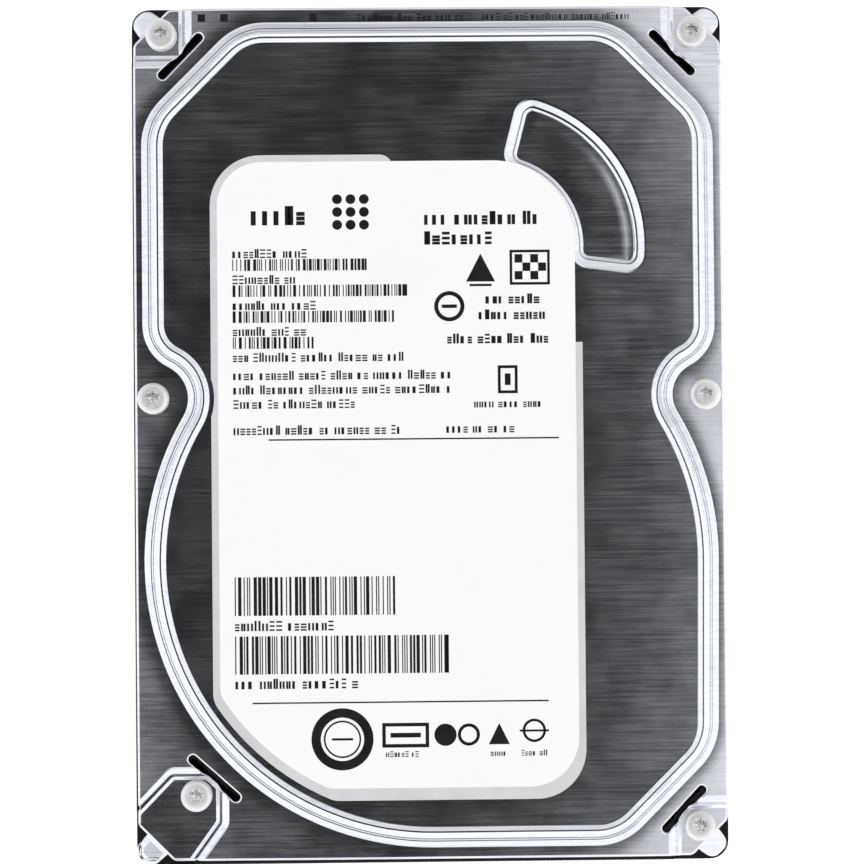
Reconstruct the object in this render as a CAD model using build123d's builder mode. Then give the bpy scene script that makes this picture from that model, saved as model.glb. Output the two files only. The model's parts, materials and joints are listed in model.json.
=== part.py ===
from build123d import *
from math import asin, atan2, cos, degrees, hypot, pi, radians, sin
import os

# Slim 3.5-inch hard disk drive with one platter. Millimetres.
# Origin: middle of the footprint, at the rails' underside. +Z is out of the cover,
# +Y is towards the connector end, +X is to the right seen from above with +Y away.

# ---- overall size -----------------------------------------------------------------
drive_width = 101.6
drive_length = 147.0
drive_height = 20.0
half_width = drive_width / 2
half_length = drive_length / 2
casting_corner_r = 3.2
casting_edge = 0.25

# ---- heights ----------------------------------------------------------------------
wall_top = 17.9
sheet = 0.8
flange_top = wall_top + sheet
plateau_top = 19.7
crest_top = drive_height
pocket_floor = 18.0
pocket_seat = pocket_floor - sheet
gasket_depth = 0.8
floor_disk = 9.6
floor_arm = 7.8
floor_coil = 6.0
bay_roof_board = 3.9
bay_roof_disk = 5.8
board_bottom = 1.0
board_top = 2.2
motor_boss_bottom = 1.6
motor_well_floor = 3.8
rib_bottom = 4.2

# ---- rim of the cover: an outline wrapped round pulleys (x, y, signed radius) -----
spindle_x, spindle_y = 0.0, -21.5
pivot_x, pivot_y = 11.0, 32.7
rim_side = 47.1
rim_top = 68.9
rim_bottom = -68.8
rim_corner_r = 9.0
rim_ess_r = 6.0
rim_disk_x, rim_disk_y, rim_disk_r = 0.2, -21.6, 47.2
top_chamfer_sum = 100.6
foot_chamfer_sum = 100.6
waist_x, waist_y = 47.4, 6.4
left_waist_r = hypot(waist_x + rim_disk_x, waist_y - rim_disk_y) - rim_disk_r
right_waist_r = hypot(waist_x - rim_disk_x, waist_y - rim_disk_y) - rim_disk_r
ess_x = rim_side - rim_ess_r
left_ess_y = waist_y + ((left_waist_r + rim_ess_r) ** 2 - (waist_x - ess_x) ** 2) ** 0.5
right_ess_y = waist_y + ((right_waist_r + rim_ess_r) ** 2 - (waist_x - ess_x) ** 2) ** 0.5
chamfer_inset = rim_corner_r * 2 ** 0.5
top_sum = top_chamfer_sum - chamfer_inset
foot_sum = foot_chamfer_sum - chamfer_inset
corner_x = rim_side - rim_corner_r
corner_top = rim_top - rim_corner_r
corner_foot = rim_bottom + rim_corner_r
rim = [
    (foot_sum + corner_foot, corner_foot, rim_corner_r),
    (corner_x, corner_x - foot_sum, rim_corner_r),
    (rim_disk_x, rim_disk_y, rim_disk_r),
    (waist_x, waist_y, -right_waist_r),
    (ess_x, right_ess_y, rim_ess_r),
    (corner_x, top_sum - corner_x, rim_corner_r),
    (top_sum - corner_top, corner_top, rim_corner_r),
    (corner_top - top_sum, corner_top, rim_corner_r),
    (-corner_x, top_sum - corner_x, rim_corner_r),
    (-ess_x, left_ess_y, rim_ess_r),
    (-waist_x, waist_y, -left_waist_r),
    (rim_disk_x, rim_disk_y, rim_disk_r),
]
ridge_half = 0.9
rise_out = 1.6
cavity_out = 1.25
gasket_in, gasket_out = 1.45, 2.45
groove_out = 2.6

# ---- cover outline, corner pockets, relief slots, screws ---------------------------
cover_half_x = 50.4
cover_top_y = 73.4
cover_foot_y = -72.6
corner_cut = 6.1
cover_corner_r = 1.5
tab_width = 4.3
tab_length = 6.2
tab_end_r = 2.0
tab_inset = 2.95
cover_screws = [(-45.7, 69.0), (45.7, 69.0), (-47.4, 6.4), (47.4, 6.4), (-40.4, -62.2), (45.4, -67.3)]
flange_screws = (2, 3)
slot_ends = [
    ((-39.4, 68.5), (-45.7, 62.0)),
    ((39.0, 68.9), (45.4, 62.5)),
    ((45.7, -61.1), (39.5, -67.7)),
    ((-41.1, -55.8), (-33.7, -62.4)),
]
slot_end_r = 0.52
slot_waist = 0.76
pocket_x, pocket_top_y, pocket_foot_y = 42.2, 65.0, -64.3
heel_pocket = [
    (-38.6, -59.0), (-44.4, -59.0), (-50.4, -65.2), (-50.4, -72.6),
    (-41.5, -72.6), (-36.8, -66.6), (-36.8, -60.8),
]
head_r = 2.65
head_height = 1.2
shank_r = 1.25
shank_foot, shank_hole_foot = 10.0, 9.5

# ---- kidney recess over the voice-coil magnets, about the actuator pivot -----------
kidney_in, kidney_out = 15.4, 24.3
kidney_from, kidney_to = -7.0, 75.5
kidney_depth = 0.55

# ---- label: outlines wrapped round pulleys, as the rim is --------------------------
label_left, label_right, label_foot, label_head = -37.4, 25.1, -62.6, 46.8
label_arc_r = 44.4
label_border, label_foot_border, label_arc_border = 1.2, 2.1, 1.6
label_head_r, label_tail_r, label_foot_r, label_blend_r = 7.6, 14.0, 8.5, 4.0
band_top, band_end, band_low = 47.95, -5.9, 20.0
band_head_r, band_end_r = 8.7, 2.5
label_step, label_step_top = 1.2, 15.5
backing_thick = 0.06
paper_thick = 0.08

# ---- spindle motor and disk --------------------------------------------------------
disk_r, disk_bore_r, disk_thick = 47.5, 12.5, 1.27
disk_z = 11.4
disk_top = disk_z + disk_thick
hub_seat_r = 15.6
rotor_shaft_r = 2.0
running_gap = 0.03
sleeve_r = 4.5
stator_in, stator_out = 6.2, 12.6
stator_teeth = 9
magnet_in = 13.0
skirt_in = 14.3
well_r = 16.4
motor_boss_r = 18.5
clamp_r = 15.2
clamp_top = 14.4
hub_top = 13.6
skirt_bottom = 4.7
tower_top = 9.0
sleeve_z = (3.0, 9.7)
shaft_foot = 3.2
shaft_bore_r = 0.9
hub_web_z = 9.95
winding_z, winding_high = 4.1, 4.2
core_z, core_high = 5.1, 2.2
core_ring = 1.6
tooth_wide, tooth_tip_wide = 1.5, 5.6
coil_reach = (stator_in + stator_out) / 2 + 0.25
rotor_magnet_z = (4.9, 9.2)
clamp_screw_r, clamp_screw_high, clamp_hole_r = 4.2, 1.5, 1.3

# ---- actuator ----------------------------------------------------------------------
head_reach = 48.0
park_r, edge_r = 20.0, 46.0
pivot_to_spindle = hypot(pivot_x - spindle_x, pivot_y - spindle_y)
line_angle = degrees(atan2(spindle_y - pivot_y, spindle_x - pivot_x))


def arm_angle(disk_radius):
    """Direction of the arm, in degrees, that puts the head on the given disk radius."""
    cosine = (pivot_to_spindle**2 + head_reach**2 - disk_radius**2) / (2 * pivot_to_spindle * head_reach)
    return line_angle - (90 - degrees(asin(cosine)))


parked = arm_angle(park_r)
swing = parked - arm_angle(edge_r)
coil_angle = parked + 180 - 8
coil_half_angle = 19.0
pivot_shaft_r = 2.4
pivot_seat = 7.9
pivot_top = 16.2
pivot_sleeve_r = 5.0
arm_hub_r = 7.4
arm_tip = 34.0
arm_thick = 1.0
disk_mid = disk_z + disk_thick / 2
arm_gap = 4.15
arm_plan = [(0.0, 7.6), (14.0, 6.2), (arm_tip, 2.6), (arm_tip, -2.6), (14.0, -6.2), (0.0, -7.6)]
beam_plan = [(30.0, 2.0), (36.0, 1.9), (48.8, 0.65), (48.8, -0.65), (36.0, -1.9), (30.0, -2.0)]
coil_z, coil_thick = 10.3, 3.0
frame_r = 27.2
coil_r = (12.4, 25.8)
beam_base = 0.35
beam = 0.2
slider_thick = 0.84
magnet_r = (15.5, 25.5)
magnet_span = (1.0, 67.0)
plate_r = (12.5, 28.5)
plate_span = (-18.0, 87.0)
plate_thick = 1.8
magnet_thick = 1.8
upper_plate_z = 15.8
post_angles = (-13.5, 82.5)
post_reach = 26.0
post_r, post_hole_r = 1.9, 1.05
arm_hub_z = (8.7, 15.7)
stop_r = 1.4
stop_reach = 22.0
latch_angle, latch_reach = 75.0, 32.2
latch_z = 10.4

# ---- mounting holes of the 3.5-inch form factor ------------------------------------
mount_hole_r = 1.37
side_hole_y = (45.0, 3.4, -56.6)
side_hole_z = 6.35
side_hole_depth = 4.4
bottom_hole_x = 47.625
bottom_hole_y = (32.22, -12.23)
bottom_hole_depth = 5.0

# ---- circuit board and connectors --------------------------------------------------
rail_in = 44.4
foot_rail_y = -68.0
bay_split_y = 0.4
board_half_x = 43.9
board_low_y, board_high_y = 1.0, 70.9
board_arc_r = 24.0
board_boss_r, board_hole_r, board_boss_top = 2.4, 0.95, 5.0
board_screws = [(-39.5, 66.5), (39.5, 58.5), (-39.5, 7.0), (39.5, 7.0)]
sata_x0, sata_x1 = -0.67, 42.05
sata_y0, sata_y1 = 64.9, 73.2
sata_top = 7.3
tongue_z = (4.0, 5.3)
tongue_back, tongue_front = 67.2, 72.6
jumper_x0, jumper_x1 = -12.2, -2.2
jumper_grid = [(x, z) for x in (-11.0, -8.46, -5.92, -3.38) for z in (3.9, 6.0)]
sata_tongues = [(3.6, 14.2, 3.6), (16.7, 37.4, 36.3)]
sata_rows = [(5.1, 7), (18.1, 15)]
capacitors = [
    (-22.0, 58.0), (-30.0, 48.0), (-30.0, 38.0), (16.0, 58.0), (30.0, 22.0), (38.0, 32.0), (12.0, 24.0),
]
inductors = [(-34.0, 18.0), (-34.0, 26.0)]
window_x, window_y = -15.0, 50.0
breather_x, breather_y = -32.0, 56.0
flex_thick = 0.3
chips = {
    "controller_chip": (2.0, 44.0, 14.0, 14.0, 1.2),
    "cache_chip": (24.0, 40.0, 10.5, 12.5, 1.1),
    "motor_driver_chip": (-24.0, 22.0, 9.0, 9.0, 1.0),
}


def on_circle(x, y, reach, angle):
    """Point at a distance and an angle (degrees) from a centre."""
    return (x + reach * cos(radians(angle)), y + reach * sin(radians(angle)))


def belt(pulleys, growth=0.0):
    """Draw the closed outline wrapped round the pulleys, grown outward, in the open BuildLine."""
    grown = [(x, y, s + growth) for x, y, s in pulleys]
    headings = []
    for (x0, y0, s0), (x1, y1, s1) in zip(grown, grown[1:] + grown[:1]):
        turn = max(-1.0, min(1.0, (s0 - s1) / hypot(x1 - x0, y1 - y0)))
        headings.append(atan2(y1 - y0, x1 - x0) + asin(turn))

    def on_pulley(pulley, heading):
        return (pulley[0] + pulley[2] * sin(heading), pulley[1] - pulley[2] * cos(heading))

    last = grown[-1]
    for index, pulley in enumerate(grown):
        arrive, leave = headings[index - 1], headings[index]
        half_turn = ((leave - arrive + pi) % (2 * pi) - pi) / 2
        start = on_pulley(last, arrive)
        touch = on_pulley(pulley, arrive)
        if hypot(touch[0] - start[0], touch[1] - start[1]) > 0.001:
            Line(start, touch)
        ThreePointArc(touch, on_pulley(pulley, arrive + half_turn), on_pulley(pulley, leave))
        last = pulley


def sector(x, y, inner, outer, start, end):
    """Draw a closed annular sector in the open BuildLine."""
    middle = (start + end) / 2
    ThreePointArc(*(on_circle(x, y, outer, a) for a in (start, middle, end)))
    Line(on_circle(x, y, outer, end), on_circle(x, y, inner, end))
    ThreePointArc(*(on_circle(x, y, inner, a) for a in (end, middle, start)))
    Line(on_circle(x, y, inner, start), on_circle(x, y, outer, start))


def disk_at(x, y, radius, low, high, mode=Mode.ADD):
    """Upright cylinder between two heights, in the open BuildPart."""
    with Locations((x, y, low)):
        Cylinder(radius, high - low, align=(Align.CENTER, Align.CENTER, Align.MIN), mode=mode)


def box_between(low, high, mode=Mode.ADD):
    """Box from its lowest to its highest corner, in the open BuildPart."""
    with Locations(low):
        Box(*(h - l for l, h in zip(low, high)), align=(Align.MIN, Align.MIN, Align.MIN), mode=mode)


def corner_regions(growth):
    """Plan of the four recessed corner pockets, grown outward by the sheet's wall."""
    far = 60.0
    for side, edge_y in ((-1, pocket_top_y), (1, pocket_top_y), (1, pocket_foot_y)):
        reach = 1 if edge_y > 0 else -1
        inner = (side * (pocket_x - growth), edge_y - reach * growth)
        with Locations(((inner[0] + side * far) / 2, (inner[1] + reach * far * 1.5) / 2)):
            Rectangle(abs(side * far - inner[0]), abs(reach * far * 1.5 - inner[1]))


def dog_bone(start, end):
    """Relief slot: two round ends joined by a narrower neck, in the open BuildSketch."""
    middle = ((start[0] + end[0]) / 2, (start[1] + end[1]) / 2)
    length = hypot(end[0] - start[0], end[1] - start[1])
    angle = degrees(atan2(end[1] - start[1], end[0] - start[0]))
    with Locations(start, end):
        Circle(slot_end_r)
    with Locations(Location((middle[0], middle[1]), angle)):
        Rectangle(length, slot_waist)
    for tip, direction in ((start, angle), (end, angle + 180)):
        with Locations(Location(on_circle(*tip, length / 8, direction), angle)):
            Rectangle(length / 4, 2 * slot_end_r)


def six_lobe(x, y, radius):
    """Six-lobed screw recess, in the open BuildSketch."""
    with Locations((x, y)):
        Circle(0.72 * radius)
        with PolarLocations(0.74 * radius, 6):
            Circle(0.26 * radius)


def finish(builder, name):
    """Label a finished piece and write it."""
    builder.part.label = name
    export_step(builder.part, f"parts/{name}.step")


os.makedirs("parts", exist_ok=True)

# ======================= base casting ===============================================
with BuildPart() as base_casting:
    with BuildSketch():
        RectangleRounded(drive_width, drive_length, casting_corner_r)
    extrude(amount=wall_top)
    chamfer(base_casting.edges().group_by(Axis.Z)[-1], casting_edge)
    with BuildSketch(Plane.XY.offset(pocket_seat)):
        corner_regions(sheet)
        with BuildLine():
            Polyline(heel_pocket, close=True)
            offset(amount=sheet, kind=Kind.INTERSECTION, mode=Mode.REPLACE)
        make_face()
    extrude(amount=2.0, mode=Mode.SUBTRACT)
    with BuildSketch(Plane.XY.offset(pocket_seat)):
        for side, edge in ((-1, 1), (1, 1), (1, -1), (-1, -1)):
            with BuildLine():
                tip = (side * 52.0, edge * 75.0)
                Polyline(tip, (tip[0] - side * 8.7, tip[1]), (tip[0], tip[1] - edge * 8.7), close=True)
            make_face()
    extrude(amount=2.0, mode=Mode.SUBTRACT)
    with BuildSketch(Plane.XY.offset(floor_disk)):
        with BuildLine():
            belt(rim, cavity_out)
        make_face()
    extrude(amount=drive_height, mode=Mode.SUBTRACT)
    with BuildSketch(Plane.XY.offset(wall_top - gasket_depth)):
        with BuildLine():
            belt(rim, groove_out)
        make_face()
    extrude(amount=2.0, mode=Mode.SUBTRACT)
    with BuildSketch(Plane.XY.offset(floor_arm)):
        with BuildLine():
            sector(pivot_x, pivot_y, 4.0, 37.0, parked - swing - 31, parked + 31)
        make_face()
    extrude(amount=drive_height, mode=Mode.SUBTRACT)
    with BuildSketch(Plane.XY.offset(floor_coil)):
        with BuildLine():
            sector(pivot_x, pivot_y, 4.0, plate_r[1] + 1.8, plate_span[0] - 6, plate_span[1] + 6)
        make_face()
        with Locations((pivot_x, pivot_y)):
            Circle(13.0)
    extrude(amount=drive_height, mode=Mode.SUBTRACT)
    with BuildSketch(Plane.XY.offset(floor_coil)):
        with Locations((-22.0, 42.0)):
            RectangleRounded(36.0, 40.0, 2.0)
    extrude(amount=drive_height, mode=Mode.SUBTRACT)
    disk_at(pivot_x, pivot_y, 4.4, floor_coil - 1, pivot_seat)
    # underside bays for the board and under the disk, and the connector opening
    box_between((-rail_in, bay_split_y, -1), (rail_in, half_length + 1, bay_roof_board), Mode.SUBTRACT)
    box_between((-rail_in, foot_rail_y, -1), (rail_in, bay_split_y, bay_roof_disk), Mode.SUBTRACT)
    box_between((jumper_x0 - 0.5, sata_y0 - 0.4, -1), (sata_x1 + 0.8, half_length + 1, 7.6), Mode.SUBTRACT)
    # motor boss, its well, the sleeve tower and the stiffening ribs
    disk_at(spindle_x, spindle_y, motor_boss_r, motor_boss_bottom, floor_disk)
    with BuildSketch(Plane.XY.offset(rib_bottom)):
        with PolarLocations(31.0, 8, start_angle=22.5):
            Rectangle(26.0, 1.3)
    extrude(amount=bay_roof_disk - rib_bottom + 0.2)
    disk_at(spindle_x, spindle_y, well_r, motor_well_floor, drive_height, Mode.SUBTRACT)
    disk_at(spindle_x, spindle_y, stator_in, motor_well_floor - 0.5, tower_top)
    disk_at(spindle_x, spindle_y, sleeve_r, 0, drive_height, Mode.SUBTRACT)
    # window for the head connector, breather port
    with Locations((window_x, window_y)):
        Box(14.4, 5.6, 2 * drive_height, mode=Mode.SUBTRACT)
    # cover screw bosses, relief pits under the cover's slots
    for x, y in cover_screws:
        disk_at(x, y, shank_r + 0.04, shank_hole_foot, drive_height, Mode.SUBTRACT)
    for start, end in slot_ends:
        with BuildSketch(Plane.XY.offset(pocket_seat - 2.0)):
            dog_bone(start, end)
        extrude(amount=5.0, mode=Mode.SUBTRACT)
    # form-factor mounting holes
    for side in (-1, 1):
        for y in side_hole_y:
            with Locations(Location((side * (half_width - side_hole_depth / 2), y, side_hole_z), (0, 90, 0))):
                Cylinder(mount_hole_r, side_hole_depth, mode=Mode.SUBTRACT)
        for y in bottom_hole_y:
            disk_at(side * bottom_hole_x, y, mount_hole_r, 0, bottom_hole_depth, Mode.SUBTRACT)
    # board screw bosses
    for x, y in board_screws:
        disk_at(x, y, board_boss_r, board_top, board_boss_top)
        disk_at(x, y, board_hole_r, 0, board_boss_top + 0.2, Mode.SUBTRACT)
    # latch pin seat and VCM screw holes
    for angle in post_angles:
        disk_at(*on_circle(pivot_x, pivot_y, post_reach, angle), post_hole_r, 4.4, 7.0, Mode.SUBTRACT)
finish(base_casting, "base_casting")

# ======================= top cover ==================================================
with BuildPart() as top_cover:
    # flange with cut corners
    with BuildSketch(Plane.XY.offset(wall_top)) as flange_plan:
        with Locations((0, (cover_top_y + cover_foot_y) / 2)):
            Rectangle(2 * cover_half_x, cover_top_y - cover_foot_y)
        chamfer(flange_plan.vertices(), corner_cut)
        fillet(flange_plan.vertices(), cover_corner_r)
    extrude(amount=sheet)
    # corner pockets, pressed down to the casting's bosses
    with BuildSketch(Plane.XY.offset(pocket_seat)):
        corner_regions(sheet)
        with BuildLine():
            Polyline(heel_pocket, close=True)
            offset(amount=sheet, kind=Kind.INTERSECTION, mode=Mode.REPLACE)
        make_face()
        add(flange_plan.sketch.moved(Location((0, 0, pocket_seat - wall_top))), mode=Mode.INTERSECT)
    extrude(amount=flange_top - pocket_seat)
    with BuildSketch(Plane.XY.offset(pocket_floor)):
        corner_regions(0)
        with BuildLine():
            Polyline(heel_pocket, close=True)
        make_face()
    extrude(amount=drive_height, mode=Mode.SUBTRACT)
    # tongue from each pocket to the corner of the casting
    with BuildSketch(Plane.XY.offset(pocket_seat)):
        for side, reach in ((-1, 1), (1, 1), (1, -1), (-1, -1)):
            middle = (side * (half_width - tab_inset), reach * (half_length - tab_inset))
            with Locations(Location(middle, 45 * side * reach)):
                RectangleRounded(tab_length, tab_width, tab_end_r)
    extrude(amount=sheet)
    # raised deck with a ridge round its edge, hollow below
    with BuildSketch(Plane.XY.offset(wall_top)):
        with BuildLine():
            belt(rim, rise_out)
        make_face()
    extrude(amount=plateau_top - wall_top)
    chamfer(top_cover.edges().group_by(Axis.Z)[-1], 0.55)
    with BuildSketch(Plane.XY.offset(plateau_top - 0.1)):
        with BuildLine():
            belt(rim, ridge_half)
        make_face()
        with BuildLine():
            belt(rim, -ridge_half)
        make_face(mode=Mode.SUBTRACT)
    extrude(amount=crest_top - plateau_top + 0.1)
    fillet(top_cover.edges().group_by(Axis.Z)[-1], 0.26)
    with BuildSketch(Plane.XY.offset(wall_top)):
        with BuildLine():
            belt(rim, rise_out - sheet)
        make_face()
    extrude(amount=plateau_top - sheet - wall_top, mode=Mode.SUBTRACT)
    # kidney recess over the magnets
    with BuildSketch(Plane.XY.offset(plateau_top - sheet - kidney_depth)):
        with BuildLine():
            sector(pivot_x, pivot_y, kidney_in - sheet, kidney_out + sheet, kidney_from - 2, kidney_to + 2)
        make_face()
    extrude(amount=kidney_depth)
    with BuildSketch(Plane.XY.offset(plateau_top - kidney_depth)) as kidney_plan:
        with BuildLine():
            sector(pivot_x, pivot_y, kidney_in, kidney_out, kidney_from, kidney_to)
        make_face()
        fillet(kidney_plan.vertices(), 1.2)
    extrude(amount=drive_height, mode=Mode.SUBTRACT)
    # relief slots, screw holes, breather hole
    for start, end in slot_ends:
        with BuildSketch(Plane.XY.offset(pocket_seat - 1)):
            dog_bone(start, end)
        extrude(amount=5.0, mode=Mode.SUBTRACT)
    for x, y in cover_screws:
        disk_at(x, y, shank_r + 0.25, pocket_seat - 1, drive_height, Mode.SUBTRACT)
finish(top_cover, "top_cover")

with BuildPart() as cover_gasket:
    with BuildSketch(Plane.XY.offset(wall_top - gasket_depth)):
        with BuildLine():
            belt(rim, gasket_out)
        make_face()
        with BuildLine():
            belt(rim, gasket_in)
        make_face(mode=Mode.SUBTRACT)
    extrude(amount=gasket_depth)
finish(cover_gasket, "cover_gasket")

for index, (x, y) in enumerate(cover_screws):
    seat = flange_top if index in flange_screws else pocket_floor
    with BuildPart() as cover_screw:
        disk_at(x, y, head_r, seat, seat + head_height)
        fillet(cover_screw.edges().group_by(Axis.Z)[-1], 0.45)
        disk_at(x, y, shank_r, shank_foot, seat)
        with BuildSketch(Plane.XY.offset(seat + head_height)):
            six_lobe(x, y, 1.15)
        extrude(amount=-0.75, mode=Mode.SUBTRACT)
    finish(cover_screw, f"cover_screw_{index + 1}")

# ======================= label ======================================================


def label_pulleys(left, foot, arc):
    """Label outline: the foot's left corner follows the platter's edge."""
    blend = label_blend_r
    inner = arc - blend
    return [
        (label_right - label_foot_r, foot + label_foot_r, label_foot_r),
        (label_right - label_tail_r, label_head - label_tail_r, label_tail_r),
        (left + label_head_r, label_head - label_head_r, label_head_r),
        (left + blend, spindle_y - (inner**2 - (left + blend) ** 2) ** 0.5, blend),
        (spindle_x, spindle_y, arc),
        (-((inner**2 - (foot + blend - spindle_y) ** 2) ** 0.5), foot + blend, blend),
    ]


# strip of backing that shows along the label's head and its top left corner
band = [
    (band_end - band_end_r, band_low, band_end_r),
    (band_end - band_end_r, band_top - band_end_r, band_end_r),
    (label_left + band_head_r, band_top - band_head_r, band_head_r),
    (label_left + band_end_r, band_low, band_end_r),
]


with BuildPart() as label_backing:
    with BuildSketch(Plane.XY.offset(plateau_top)):
        with BuildLine():
            belt(label_pulleys(label_left, label_foot, label_arc_r))
        make_face()
        with BuildLine():
            belt(band, 0.0)
        make_face()
        with Locations((label_right, (label_step_top + label_foot + label_foot_r) / 2)):
            Rectangle(2 * label_step, label_step_top - label_foot - label_foot_r)
        with Locations((label_right + label_step - label_foot_r, label_foot + label_foot_r)):
            Circle(label_foot_r)
        with BuildLine():
            belt(rim, -2.5)
        make_face(mode=Mode.INTERSECT)
    extrude(amount=backing_thick)
finish(label_backing, "label_backing")

with BuildPart() as label_sheet:
    with BuildSketch(Plane.XY.offset(plateau_top + backing_thick)):
        with BuildLine():
            belt(label_pulleys(
                label_left + label_border, label_foot + label_foot_border, label_arc_r - label_arc_border
            ))
        make_face()
    extrude(amount=paper_thick)
finish(label_sheet, "label_sheet")

# ======================= air filters ================================================
with BuildPart() as breather_filter:
    with BuildSketch(Plane.XY.offset(floor_coil)):
        with Locations((breather_x, breather_y)):
            RectangleRounded(15.0, 11.0, 2.0)
    extrude(amount=8.0)
    chamfer(breather_filter.edges().group_by(Axis.Z)[-1], 0.6)
finish(breather_filter, "breather_filter")

with BuildPart() as recirculation_filter:
    with BuildSketch(Plane.XY.offset(floor_disk)):
        with Locations(Location(on_circle(spindle_x, spindle_y, 51.6, -45), 45)):
            RectangleRounded(12.0, 3.2, 0.8)
    extrude(amount=6.4)
finish(recirculation_filter, "recirculation_filter")

# ======================= spindle motor, fixed side ==================================
with BuildPart() as thrust_cup:
    disk_at(spindle_x, spindle_y, sleeve_r, motor_boss_bottom + 0.4, sleeve_z[0])
finish(thrust_cup, "thrust_cup")

with BuildPart() as bearing_sleeve:
    disk_at(spindle_x, spindle_y, sleeve_r, *sleeve_z)
    disk_at(spindle_x, spindle_y, rotor_shaft_r + running_gap, *sleeve_z, Mode.SUBTRACT)
finish(bearing_sleeve, "bearing_sleeve")

with BuildPart() as stator_core:
    with BuildSketch(Plane.XY.offset(core_z)):
        with Locations((spindle_x, spindle_y)):
            Circle(stator_in + core_ring)
            with PolarLocations(stator_out - 2.6, stator_teeth):
                Rectangle(5.2, tooth_wide)
            with PolarLocations(stator_out - 0.6, stator_teeth):
                Rectangle(1.0, tooth_tip_wide)
            Circle(stator_out, mode=Mode.INTERSECT)
            Circle(stator_in, mode=Mode.SUBTRACT)
    extrude(amount=core_high)
finish(stator_core, "stator_core")

with BuildPart() as stator_windings:
    with BuildSketch(Plane.XY.offset(winding_z)):
        with Locations((spindle_x, spindle_y)):
            with PolarLocations(coil_reach, stator_teeth):
                RectangleRounded(3.0, 3.1, 0.6)
    extrude(amount=winding_high)
    with BuildSketch(Plane.XY.offset(core_z)):
        with Locations((spindle_x, spindle_y)):
            with PolarLocations(coil_reach, stator_teeth):
                Rectangle(3.4, tooth_wide)
    extrude(amount=core_high, mode=Mode.SUBTRACT)
finish(stator_windings, "stator_windings")

# ======================= rotor: shaft, hub, magnet, platter, clamp ==================
with BuildPart() as rotor_shaft:
    disk_at(spindle_x, spindle_y, rotor_shaft_r, shaft_foot, hub_top)
    disk_at(spindle_x, spindle_y, shaft_bore_r, hub_top - 4.0, hub_top, Mode.SUBTRACT)
finish(rotor_shaft, "rotor_shaft")

with BuildPart() as spindle_hub:
    disk_at(spindle_x, spindle_y, disk_bore_r - 0.05, hub_web_z, hub_top)
    disk_at(spindle_x, spindle_y, hub_seat_r, skirt_bottom, disk_z)
    disk_at(spindle_x, spindle_y, skirt_in, skirt_bottom, hub_web_z, Mode.SUBTRACT)
    disk_at(spindle_x, spindle_y, rotor_shaft_r, 0, drive_height, Mode.SUBTRACT)
    with Locations((spindle_x, spindle_y)):
        with PolarLocations(7.6, 3):
            Cylinder(1.0, 60, mode=Mode.SUBTRACT)
finish(spindle_hub, "spindle_hub")

with BuildPart() as rotor_magnet:
    disk_at(spindle_x, spindle_y, skirt_in, *rotor_magnet_z)
    disk_at(spindle_x, spindle_y, magnet_in, *rotor_magnet_z, Mode.SUBTRACT)
finish(rotor_magnet, "rotor_magnet")

with BuildPart() as platter:
    disk_at(spindle_x, spindle_y, disk_r, disk_z, disk_top)
    disk_at(spindle_x, spindle_y, disk_bore_r, disk_z, disk_top, Mode.SUBTRACT)
    chamfer(platter.edges().filter_by(GeomType.CIRCLE), 0.12)
finish(platter, "platter")

with BuildPart() as disk_clamp:
    disk_at(spindle_x, spindle_y, clamp_r, disk_top, clamp_top)
    disk_at(spindle_x, spindle_y, clamp_r - 1.6, disk_top, hub_top, Mode.SUBTRACT)
    fillet(disk_clamp.edges().group_by(Axis.Z)[-1], 0.4)
    disk_at(spindle_x, spindle_y, clamp_hole_r, disk_top, clamp_top, Mode.SUBTRACT)
    with Locations((spindle_x, spindle_y, clamp_top)):
        with PolarLocations(10.6, 6):
            Cylinder(1.1, 4, mode=Mode.SUBTRACT)
finish(disk_clamp, "disk_clamp")

with BuildPart() as clamp_screw:
    disk_at(spindle_x, spindle_y, clamp_screw_r, clamp_top, clamp_top + clamp_screw_high)
    fillet(clamp_screw.edges().group_by(Axis.Z)[-1], 0.4)
    disk_at(spindle_x, spindle_y, shaft_bore_r - 0.02, hub_top - 3.6, clamp_top)
    with BuildSketch(Plane.XY.offset(clamp_top + 1.5)):
        six_lobe(spindle_x, spindle_y, 1.5)
    extrude(amount=-1.0, mode=Mode.SUBTRACT)
finish(clamp_screw, "clamp_screw")

# ======================= voice-coil motor, fixed side ===============================
lower_plate_z = floor_coil
lower_magnet_z = lower_plate_z + plate_thick
upper_magnet_z = upper_plate_z - magnet_thick
posts = [on_circle(pivot_x, pivot_y, post_reach, angle) for angle in post_angles]
for name, low in (("vcm_lower_plate", lower_plate_z), ("vcm_upper_plate", upper_plate_z)):
    with BuildPart() as vcm_plate:
        with BuildSketch(Plane.XY.offset(low)) as plate_plan:
            with BuildLine():
                sector(pivot_x, pivot_y, *plate_r, *plate_span)
            make_face()
            fillet(plate_plan.vertices(), 1.6)
        extrude(amount=plate_thick)
        for x, y in posts:
            disk_at(x, y, post_hole_r, low, low + plate_thick, Mode.SUBTRACT)
    finish(vcm_plate, name)

for name, low in (("lower_magnet", lower_magnet_z), ("upper_magnet", upper_magnet_z)):
    with BuildPart() as magnet:
        with BuildSketch(Plane.XY.offset(low)) as magnet_plan:
            with BuildLine():
                sector(pivot_x, pivot_y, *magnet_r, *magnet_span)
            make_face()
            fillet(magnet_plan.vertices(), 1.0)
        extrude(amount=magnet_thick)
    finish(magnet, name)

with BuildPart() as vcm_spacers:
    for x, y in posts:
        disk_at(x, y, post_r, lower_magnet_z, upper_plate_z)
        disk_at(x, y, post_hole_r, lower_magnet_z, upper_plate_z, Mode.SUBTRACT)
finish(vcm_spacers, "vcm_spacers")

with BuildPart() as vcm_screws:
    for x, y in posts:
        disk_at(x, y, 1.0, 4.8, upper_plate_z + plate_thick)
        disk_at(x, y, 1.7, upper_plate_z + plate_thick, upper_plate_z + plate_thick + 0.6)
finish(vcm_screws, "vcm_screws")

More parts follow.
